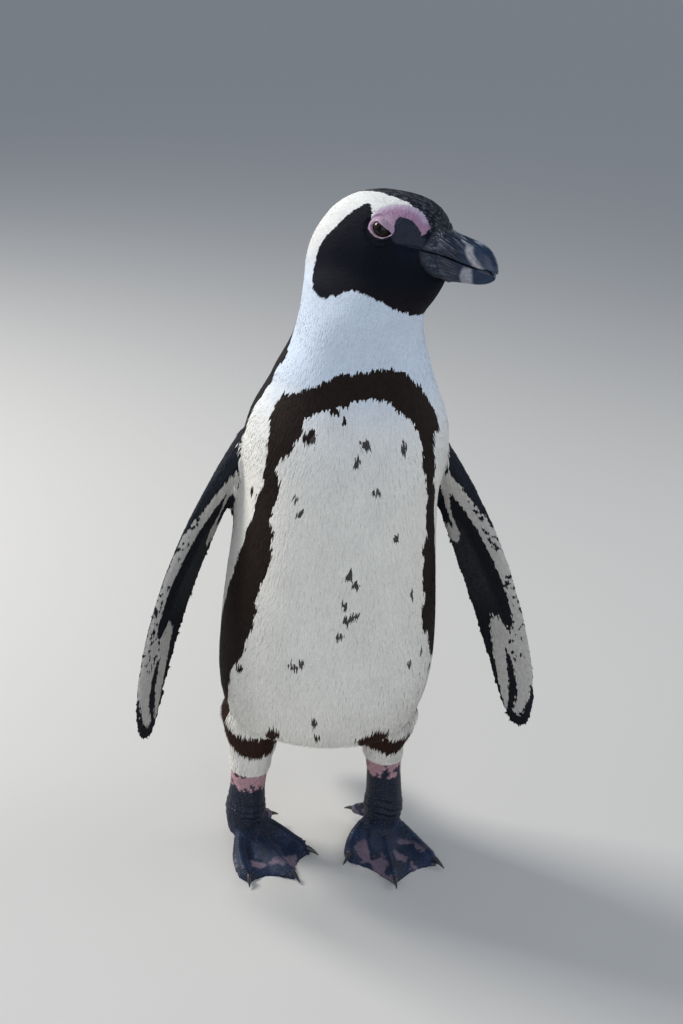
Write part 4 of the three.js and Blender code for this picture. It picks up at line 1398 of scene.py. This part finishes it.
def grow_coat():
    """All the feathers, in pieces of fewer than twenty thousand."""
    face_labels = skin_labels[skin_triangles[:, 0]]
    breast = (face_labels == TRUNK) & (skin_points[skin_triangles[:, 0], 2] > BREAST_LOW)
    found = []
    for label, cell in COAT_CELLS.items():
        found.append(scatter((face_labels == label) & ~breast, cell, PART_SEED + label))
    found.append(scatter(breast, BREAST_CELL, BREAST_SEED))
    points, normals, labels = (np.concatenate([row[k] for row in found]) for k in range(3))
    keep = ~bare(points, labels)
    points, normals, labels = points[keep], normals[keep], labels[keep]
    chance = np.random.default_rng(COAT_SEED)
    lie = coat_lie(points, normals, labels)
    length, width, lift = feather_size(points, labels, chance)
    ragged = chance.normal(0, 1.6, len(points))
    shown = points + lie * length[:, None] * 0.6
    colours, _ = tones(shown, normals, labels, ragged)
    colours = colours * (0.95 + 0.08 * chance.random(len(points))[:, None])
    coat = [points, normals, labels, lie, length, width, lift, colours]
    for label in WINGS:
        coat = [np.concatenate(pair) for pair in zip(coat, wing_fringe(label, chance))]
    points, normals, labels, lie, length, width, lift, colours = coat
    bend = np.choose(labels, [0.0055, 0.001, 0.002, 0, 0.001, 0.001, 0, 0, 0, 0])
    bend = bend + 0.004 * (labels == TRUNK) * smooth(points[:, 2], 150, 110)
    blades = vanes(points, normals, lie, length, width, lift, bend, chance)
    # Each blade's painted shade and highlight are weaker on the neck and head.
    contrast = np.where(labels <= TRUNK, 1 - 0.45 * smooth(points[:, 2], 385, 430), 1.0)
    shades = 1 + np.outer(contrast, BLADE_SHADE)
    place = coat_place(points, normals, labels)
    _, left, _ = head_frame(points)
    groups = {
        "coat_head_left": (labels == HEAD) & (left >= 0),
        "coat_head_right": (labels == HEAD) & (left < 0),
        "coat_neck": labels == NECK,
        "coat_flipper_left": labels == WING_L,
        "coat_flipper_right": labels == WING_R,
        "coat_tail": labels == TAIL,
        "coat_legs": (labels == LEG_L) | (labels == LEG_R),
    }
    sector = ((body_angle(points) + 180) // 60).astype(int).clip(0, 5)
    for k in range(6):
        groups[f"coat_trunk_{k + 1}"] = (labels == TRUNK) & (sector == k)
    for name, part in groups.items():
        slot = "feather_black" if "flipper" in name or "tail" in name else "feather_white"
        own = (blades[part], BLADE_FACES, shades[part], colours[part], place[part])
        coat_piece(name, *own, slot, FEATHER)


def shank_rings(label):
    """Rows of scales round a bare shank."""
    starts, ways = [], []
    rows = int((SOCKS[label] + 9 - SHANK_LOW) / RING_PITCH)
    jitter = np.random.default_rng(JITTER_SEED + label)
    for row in range(rows):
        for k in range(RING_SCALES):
            turn = k + 0.5 * (row % 2) + jitter.uniform(-0.22, 0.22)
            turn = turn * 2 * math.pi / RING_SCALES
            rise = 0.5 * math.sin(3 * turn + row * 0.7) + jitter.uniform(-0.45, 0.45)
            starts.append((*ANKLES[label], SHANK_LOW + RING_PITCH * row + rise))
            ways.append((math.sin(turn), -math.cos(turn), 0))
    points, normals, _ = skin_hits(starts, ways, [label])
    count = len(points)
    lie = np.tile([0.0, 0.0, -1.0], (count, 1))
    return points, normals, lie, np.tile(SHANK_SCALE, (count, 1)), label


def toe_plates(label):
    """Broad plates across the top of each toe."""
    starts, ways, lies = [], [], []
    for line in toe_lines(label):
        for share in np.arange(PLATES_FROM, 1.01, 0.036):
            place = min(int(share * 8), 7)
            start, end = np.array(line[place]), np.array(line[place + 1])
            spot = start + (end - start) * (share * 8 - place)
            way = np.array([*unit(end - start), 0.0])
            side = np.cross(way, UP)
            for lean in (-math.radians(48), 0, math.radians(48)):
                starts.append((*spot, 3.2))
                ways.append(UP * math.cos(lean) + side * math.sin(lean))
                lies.append(way)
    points, normals, found = skin_hits(starts, ways, [label])
    return points, normals, np.array(lies)[found], np.tile(TOE_PLATE, (len(points), 1)), label


def foot_grains(label):
    """Small scales over the rest of a foot."""
    face_labels = skin_labels[skin_triangles[:, 0]]
    points, normals, _ = scatter(face_labels == label, WEB_CELL, FOOT_SEED + label)
    best = np.full(len(points), 1e9)
    share = np.zeros(len(points))
    lie = np.zeros((len(points), 3))
    for line in toe_lines(label):
        gap, along = distance_to(line, points[:, 0], points[:, 1])
        way = unit(np.array([line[-1][0] - line[0][0], line[-1][1] - line[0][1], 0.0]))
        nearer = gap < best
        lie = np.where(nearer[:, None], way, lie)
        share = np.where(nearer, along, share)
        best = np.where(nearer, gap, best)
    plated = (best < 4.2) & (share > PLATES_FROM) & (points[:, 2] > 3)
    hind = points[:, 1] > ANKLES[label][1] + 12
    keep = ~plated & (points[:, 2] > 1.6) & ((normals[:, 2] > -0.4) | hind)
    points, normals, lie, best = points[keep], normals[keep], lie[keep], best[keep]
    raised = np.maximum(smooth(best, 8, 4.5), smooth(points[:, 2], 8, 11))
    return points, normals, lie, mixed(WEB_GRAIN, RAISED_GRAIN, raised), label


def grow_scales():
    """The plates and scales of the shanks, toes and webs."""
    sets = [shank_rings(LEG_L), shank_rings(LEG_R)]
    sets += [toe_plates(FOOT_L), toe_plates(FOOT_R), foot_grains(FOOT_L), foot_grains(FOOT_R)]
    points, normals, lie, size = (np.concatenate([row[k] for row in sets]) for k in range(4))
    labels = np.concatenate([np.full(len(row[0]), row[4]) for row in sets])
    chance = np.random.default_rng(SCALE_SEED)
    even = chance.uniform(0.8, 1.2, len(points))
    length, width, height = (size[:, k] * even for k in range(3))
    colours, _ = tones(points, normals, labels)
    colours = colours * (0.8 + 0.5 * chance.random(len(points))[:, None])
    lie = level_with(normals, lie)
    domes = scutes(points, normals, lie, length, width, height, size[:, 3])
    shades = np.tile(SCUTE_SHADE, (len(points), 1))
    right = (labels == LEG_R) | (labels == FOOT_R)
    shank = (labels <= LEG_R) | (points[:, 2] > 24)
    flat = (points[:, 1] + 85) / 130 * 0.6
    raised = 0.62 + (points[:, 2] - 20) / 60 * 0.36
    across = (points[:, 0] % 150) / 150 * 0.5 + right * 0.5
    place = np.stack([across, np.where(shank, raised, flat)], 1)
    own = (domes, SCUTE_FACES, shades, colours, place)
    coat_piece("foot_scales", *own, "foot_skin", SCALE_SKIN)


grow_coat()
grow_scales()
under_coat = ~bare(skin_points, skin_labels)
skin_gloss = np.where(skin_labels >= FOOT_L, 0.62, 0.55)
skin_gloss = np.where(under_coat, 0.95, skin_gloss)
# Painted shade: the skin under the coat is darkened, most under dark plumage.
shaded = np.where(under_coat & skin_dark, 0.5, 0.95)[:, None]
give_tone(skin_mesh, skin_tones * shaded, skin_gloss)
show("skin", skin_mesh, SKIN, FLESH)


# ------------------------------------------------------------------------------ bill

MOUTH_AT = (42.6, 512.4)  # a point of the mouth's line, in side view
MOUTH_SLOPE = -0.205

# In side view: each groove's line, how deep and how wide it is.
GROOVES = [
    (
        [(50, 529), (53.5, 525), (58, 520), (65, 515.6), (72, 511.6), (78, 508.6), (85, 505.8)],
        0.75, 0.75,
    ),
    ([(47, 526), (53, 521.5), (57, 517.8), (63, 513.9), (69, 510.4), (74.5, 507.4)], 0.55, 0.65),
    ([(44, 518), (51, 515), (55, 512.2), (60, 509.9), (63, 508.6)], 0.5, 0.6),
]
NOSTRIL = [(64.2, 514.6), (67.8, 512.4)]
LOWER_CREASE = [(82.2, 503), (83, 494)]
UPPER_BAND = [
    (73, 519), (73.6, 515), (76.2, 510.4), (80.8, 506.2), (85.4, 504), (89, 504), (86, 507.6),
    (82.4, 510.8), (79.6, 514), (78, 518),
]
LOWER_BAND = [
    (71.5, 489), (71.5, 496.7), (72.8, 501), (74.4, 504), (80, 504), (80.9, 498.4), (80, 489),
]
BAND_SPLIT = [(76.5, 514.5), (80, 511), (86, 506.8)]


def trimmed(points, triangles, spot, way):
    """What of a solid lies ahead of a plane, closed across it."""
    work = bmesh.new()
    corners = [work.verts.new(point) for point in points]
    for a, b, c in triangles:
        work.faces.new((corners[a], corners[b], corners[c]))
    bmesh.ops.remove_doubles(work, verts=work.verts, dist=0.001)
    bmesh.ops.recalc_face_normals(work, faces=work.faces)
    everything = list(work.verts) + list(work.edges) + list(work.faces)
    cut = bmesh.ops.bisect_plane(
        work, geom=everything, plane_co=spot, plane_no=way, clear_inner=True
    )
    rim = [item for item in cut["geom_cut"] if isinstance(item, bmesh.types.BMEdge)]
    bmesh.ops.holes_fill(work, edges=rim, sides=0)
    mesh = bpy.data.meshes.new("trimmed")
    work.to_mesh(mesh)
    work.free()
    return mesh_arrays(mesh)


def head_spot(f, left, z):
    """A point given in the head's frame, in the bird's frame."""
    return np.array([0.0, HEAD_Y, z]) + FORWARD * f + LEFT * left


def bill_solid(upper):
    """A mandible's packed horn with the end of the head it grows from, smoothed."""
    own, own_faces, _ = joined(["bill_upper" if upper else "bill_lower"])
    head, head_faces, _ = joined(["head"])
    if upper:
        snout = trimmed(head, head_faces, head_spot(40, 0, 516), FORWARD * 0.943 - UP * 0.333)
    else:
        snout = trimmed(head, head_faces, head_spot(40.5, 0, 505), FORWARD * 0.78 + UP * 0.625)
    tilt = unit(UP - FORWARD * MOUTH_SLOPE) * (1 if upper else -1)
    snout = trimmed(*snout, head_spot(MOUTH_AT[0], 0, MOUTH_AT[1]), tilt)
    faces = np.concatenate([own_faces, snout[1] + len(own)])
    mesh = voxel_mesh(np.concatenate([own, snout[0]]), faces, HORN_VOXEL)
    points, triangles = mesh_arrays(mesh)
    f, _, _ = head_frame(points)
    rounds = 10 + 60 * smooth(f, 44, 50) * smooth(f, 70, 62)
    points = relaxed(points, edges_of(mesh), rounds, keep=True)
    return mesh, points, point_normals(points, triangles)


def bill_relief(upper, f, side, z, mouth, ahead):
    """How far the horn moves outward, how strong its ridges show, and its nostril."""
    move = 0.35 * smooth(f, 66, 56) * smooth(ahead, 0, 2) - 2.4 * smooth(ahead, 0.5, -1.6)
    lines = 0.85 * (z + (0.62 if upper else 0.1) * f)
    grain = noise(np.stack([lines, f * 0.12, side * 0.12], 1), 0.9)
    fine = noise(np.stack([lines, f * 0.3, side * 0.3], 1) + 40, 0.55)
    relief = ((grain - 0.5) * 0.9 + (fine - 0.5) * 0.35) * smooth(ahead, -1.2, 0.8)
    nostril = 0.0
    if upper:
        ridged_base = smooth(f, 76, 66) * smooth(z, mouth + 1.5, mouth + 4)
        culmen = noise(np.stack([(z + 0.42 * f) * 1.7, f * 0.14, side * 1.2], 1) + 9, 1.3) - 0.5
        on_top = smooth(z, 516, 520)
        relief = relief * (1 - on_top) + culmen * on_top
        move += relief * ridged_base * 0.75
        for line, deep, wide in GROOVES:
            gap, along = distance_to(line, f, z)
            fade = smooth(along, 0.0, 0.15) * smooth(along, 1.0, 0.8)
            move += (0.25 * bell(gap - 1.6, 0.8) - deep * bell(gap, wide)) * fade
        nostril = bell(distance_to(NOSTRIL, f, z)[0], 0.8)
        move -= nostril
    else:
        ridged_base = smooth(f, 68, 58) * smooth(z, mouth - 1, mouth - 4)
        move += relief * ridged_base * 0.6 - 0.3 * bell(distance_to(LOWER_CREASE, f, z)[0], 0.5)
    move -= 0.45 * smooth(np.abs(z - mouth), 1.1, 0.1)
    return move, smooth(relief, 0.02, 0.32) * ridged_base, nostril


def bill_tones(upper, points, f, z, mouth, ahead, ridge, nostril):
    """The colour, the roughness and the strength of fibres and their painted reflections at each
    point of a mandible.
    """
    # The horn turns bluer towards the tip, a painted sheen.
    colour = mixed(HORN, TIP_HORN_SHEEN, smooth(f, 66, 80)) * (0.7 + 0.7 * noise(points, 2.4)[:, None])
    # Painted highlight: the raised ridges of the base are paler.
    colour = mixed(colour, RIDGE_GREY, 0.75 * ridge)
    band, grey = (UPPER_BAND, UPPER_GREY) if upper else (LOWER_BAND, LOWER_GREY)
    shown = smooth(outline_gap(band, f, z), 1.2, -1.6) * (0.6 + 0.4 * noise(points, 1.6))
    colour = mixed(colour, grey, shown)
    if upper:
        # Pale streaks, strongest on the culmen's top: fibres, and partly a painted highlight where
        # light falls on the top.
        top = smooth(z, 515.5, 520.5) * smooth(f, 93, 82) * (0.45 + 0.9 * noise(points + 60, 6))
        plates = 0.28 * smooth(z, mouth + 1, mouth + 3) * smooth(f, 78, 70)
        streak = np.maximum(top, plates)
        split = bell(distance_to(BAND_SPLIT, f, z)[0], 0.35)
        # The nostril is painted darker, as shade in its recess.
        colour *= ((1 - 0.6 * split) * (1 - 0.85 * nostril))[:, None]
        colour += np.outer(smooth(f, 86, 90) * smooth(z, 509, 506), TIP_EDGE)
    else:
        streak = 0.14 * smooth(z, mouth - 1, mouth - 3) * smooth(f, 74, 66)
    # Painted shade along the mouth's line, where the mandibles meet.
    colour *= (1 - 0.7 * smooth(np.abs(z - mouth), 0.9, 0.2))[:, None]
    hidden = smooth(ahead, 5.5, 0.5)
    colour = mixed(colour, MASK_BLACK * 1.3, (0.6 if upper else 0.75) * hidden)
    gloss = 0.34 + 0.22 * noise(points + 7, 3) + 0.2 * hidden - 0.1 * smooth(f, 76, 86)
    return colour, gloss, streak * smooth(ahead, 0.5, 3.5)


def build_bill(upper):
    """One mandible of fine grained horn, with the plates and grooves of its base."""
    mesh, points, normals = bill_solid(upper)
    f, left, z = head_frame(points)
    side = np.abs(left)
    mouth = MOUTH_AT[1] + MOUTH_SLOPE * (f - MOUTH_AT[0])
    ahead = bill_side(f, side, z)
    move, ridge, nostril = bill_relief(upper, f, side, z, mouth, ahead)
    points = points + normals * move[:, None]
    core = head_spot(56, 0, 512 if upper else 503)
    points += (core - points) * (0.5 * smooth(ahead, -0.8, -7))[:, None]
    set_points(mesh, points)
    colour, gloss, streak = bill_tones(upper, points, f, z, mouth, ahead, ridge, nostril)
    give_tone(mesh, colour, gloss)
    store(mesh, "Streak", streak)
    place = "upper" if upper else "lower"
    show(f"horn_{place}", mesh, BILL_HORN, (f"bill_{place}",))


build_bill(True)
build_bill(False)


# ------------------------------------------------------------------------------ eyes

EYE_RINGS, EYE_TURNS = 44, 64  # from the ball's front to its back, and round it


def build_eye(side_name, sign):
    """A dark brown eye with a round pupil and a bulging glossy front."""
    centre = head_spot(EYE_FORWARD, sign * EYE_LATERAL, EYE_Z)
    look = unit(LEFT * sign + FORWARD * 0.2 + UP * 0.06)
    east = unit(np.cross(UP, look))
    north = np.cross(look, east)
    polar = np.linspace(0, math.pi, EYE_RINGS + 1)[1:-1]
    turn = np.arange(EYE_TURNS) * 2 * math.pi / EYE_TURNS
    a, b = (grid.ravel() for grid in np.meshgrid(polar, turn, indexing="ij"))
    reach = EYE_RADIUS - 0.15 + 0.45 * smooth(a, 0.62, 0.0)
    around = np.outer(np.cos(b), east) + np.outer(np.sin(b), north)
    shape = (np.outer(np.cos(a), look) + np.sin(a)[:, None] * around) * reach[:, None]
    ends = [look * (EYE_RADIUS + 0.3), -look * EYE_RADIUS]
    points = np.concatenate([shape, ends]) + centre
    faces = []
    for ring in range(EYE_RINGS - 2):
        for k in range(EYE_TURNS):
            p = ring * EYE_TURNS + k
            q = ring * EYE_TURNS + (k + 1) % EYE_TURNS
            faces += [(p, p + EYE_TURNS, q + EYE_TURNS), (p, q + EYE_TURNS, q)]
    last_ring = (EYE_RINGS - 2) * EYE_TURNS
    for k in range(EYE_TURNS):
        following = (k + 1) % EYE_TURNS
        faces.append((len(shape), k, following))
        faces.append((len(shape) + 1, last_ring + following, last_ring + k))
    mesh = plain_mesh("eye", points, faces)
    a, b = np.append(a, [0, math.pi]), np.append(b, [0, 0])
    rays = noise(np.stack([np.cos(b) * 9, np.sin(b) * 9, a * 3], 1), 1.0)[:, None]
    colour = IRIS_BROWN * (0.6 + 0.9 * rays) * smooth(a, 0.30, 0.36)[:, None] + PUPIL_BLACK
    colour = mixed(colour, EYE_RIM, smooth(a, 0.62, 0.74))
    f, _, z = head_frame(points)
    _, s, t = lid_gap(f, z)
    colour = mixed(colour, EYE_CORNER, smooth(s, -3.9, -5.8) * smooth(t, 0.2, 1.6))
    give_tone(mesh, colour)
    show(f"eyeball_{side_name}", mesh, EYE_BALL, (f"eye_{side_name}",))


build_eye("left", 1)
build_eye("right", -1)


# ----------------------------------------------------------------------------- claws

CLAW_HORN = grained("claw_horn", 2200.0, 0.75, 1.3, 0.3, 0.3, 0.0002, 0.55)


def build_claws(side):
    """Smooth dark claws on each toe of one foot."""
    names = [f"claw_{side}_{toe}" for toe in ("inner", "middle", "outer", "hind")]
    points, faces, _ = joined(names)
    mesh = voxel_mesh(points, faces, CLAW_VOXEL)
    points, _ = mesh_arrays(mesh)
    points = relaxed(points, edges_of(mesh), 12, keep=True)
    set_points(mesh, points)
    shade = 0.7 + 0.8 * noise(points * np.array([1, 1, 2.5]), 1.2)[:, None]
    give_tone(mesh, CLAW_BLACK * shade)
    show(f"claws_{side}", mesh, CLAW_HORN, names)


build_claws("left")
build_claws("right")


# ------------------------------------------------------------------- floor and lights

FLOOR_REACH = 60.0
FLOOR_GREY = (0.56, 0.55, 0.53, 1)
SKY_BLUE = (0.74, 0.84, 1.0, 1)

# Each lamp's place, size, power and colour.
LAMPS = [
    ("key", (-1.45, 0.8, 1.45), 0.7, 45.0, (1.0, 0.97, 0.92)),
    ("front", (-0.2, -2.2, 1.1), 1.9, 16.5, (0.92, 0.96, 1.0)),
    ("side", (1.7, 0.3, 1.0), 1.0, 8.0, (1.0, 0.98, 0.95)),
]


def build_stage():
    """A wide pale floor under soft studio light."""
    corners = [(-1, -1, 0), (1, -1, 0), (1, 1, 0), (-1, 1, 0)]
    floor_mesh = plain_mesh("floor", np.array(corners) * FLOOR_REACH, [(0, 1, 2), (0, 2, 3)])
    material, shader, _, _ = new_material("floor")
    shader.inputs["Base Color"].default_value = FLOOR_GREY
    shader.inputs["Roughness"].default_value = 0.9
    floor_mesh.materials.append(material)
    floor = bpy.data.objects.new("floor", floor_mesh)
    bpy.context.scene.collection.objects.link(floor)

    world = bpy.data.worlds.new("studio")
    bpy.context.scene.world = world
    world.use_nodes = True
    background = world.node_tree.nodes["Background"]
    background.inputs["Color"].default_value = SKY_BLUE
    background.inputs["Strength"].default_value = 0.42

    aim = Vector(to_row(np.array([0.0, 0.0, 300.0])))
    for name, place, size, power, colour in LAMPS:
        lamp = bpy.data.lights.new(name, "AREA")
        lamp.size = size
        lamp.energy = power
        lamp.color = colour
        holder = bpy.data.objects.new(name, lamp)
        holder.location = place
        holder.rotation_euler = (aim - Vector(place)).to_track_quat("-Z", "Y").to_euler()
        bpy.context.scene.collection.objects.link(holder)


def build_camera():
    """The camera stands ahead of the bird, a little to its right, looking down at it."""
    bearing = math.radians(-10.02)  # round the bird from straight ahead
    distance, height = 1061.0, 715.7
    pitch = math.radians(21.57)
    heading = bearing + math.radians(0.15)
    roll = math.radians(-5.88)
    place = np.array([math.sin(bearing) * distance, -math.cos(bearing) * distance, height])
    ahead = np.array(
        [
            -math.sin(heading) * math.cos(pitch),
            math.cos(heading) * math.cos(pitch),
            -math.sin(pitch),
        ]
    )
    level = np.array([math.cos(heading), math.sin(heading), 0.0])
    above = np.cross(level, ahead)
    right = math.cos(roll) * level - math.sin(roll) * above
    top = math.sin(roll) * level + math.cos(roll) * above
    data = bpy.data.cameras.new("camera")
    data.sensor_width = 36.0
    data.lens = 52.49
    data.clip_start, data.clip_end = 0.05, 300.0
    camera = bpy.data.objects.new("camera", data)
    turn = Matrix([right, top, -ahead]).transposed()
    camera.matrix_world = Matrix.Translation(Vector(to_row(place))) @ turn.to_4x4()
    bpy.context.scene.collection.objects.link(camera)
    bpy.context.scene.camera = camera


build_stage()
build_camera()
bpy.context.scene.view_settings.view_transform = "Standard"

bpy.context.view_layer.update()
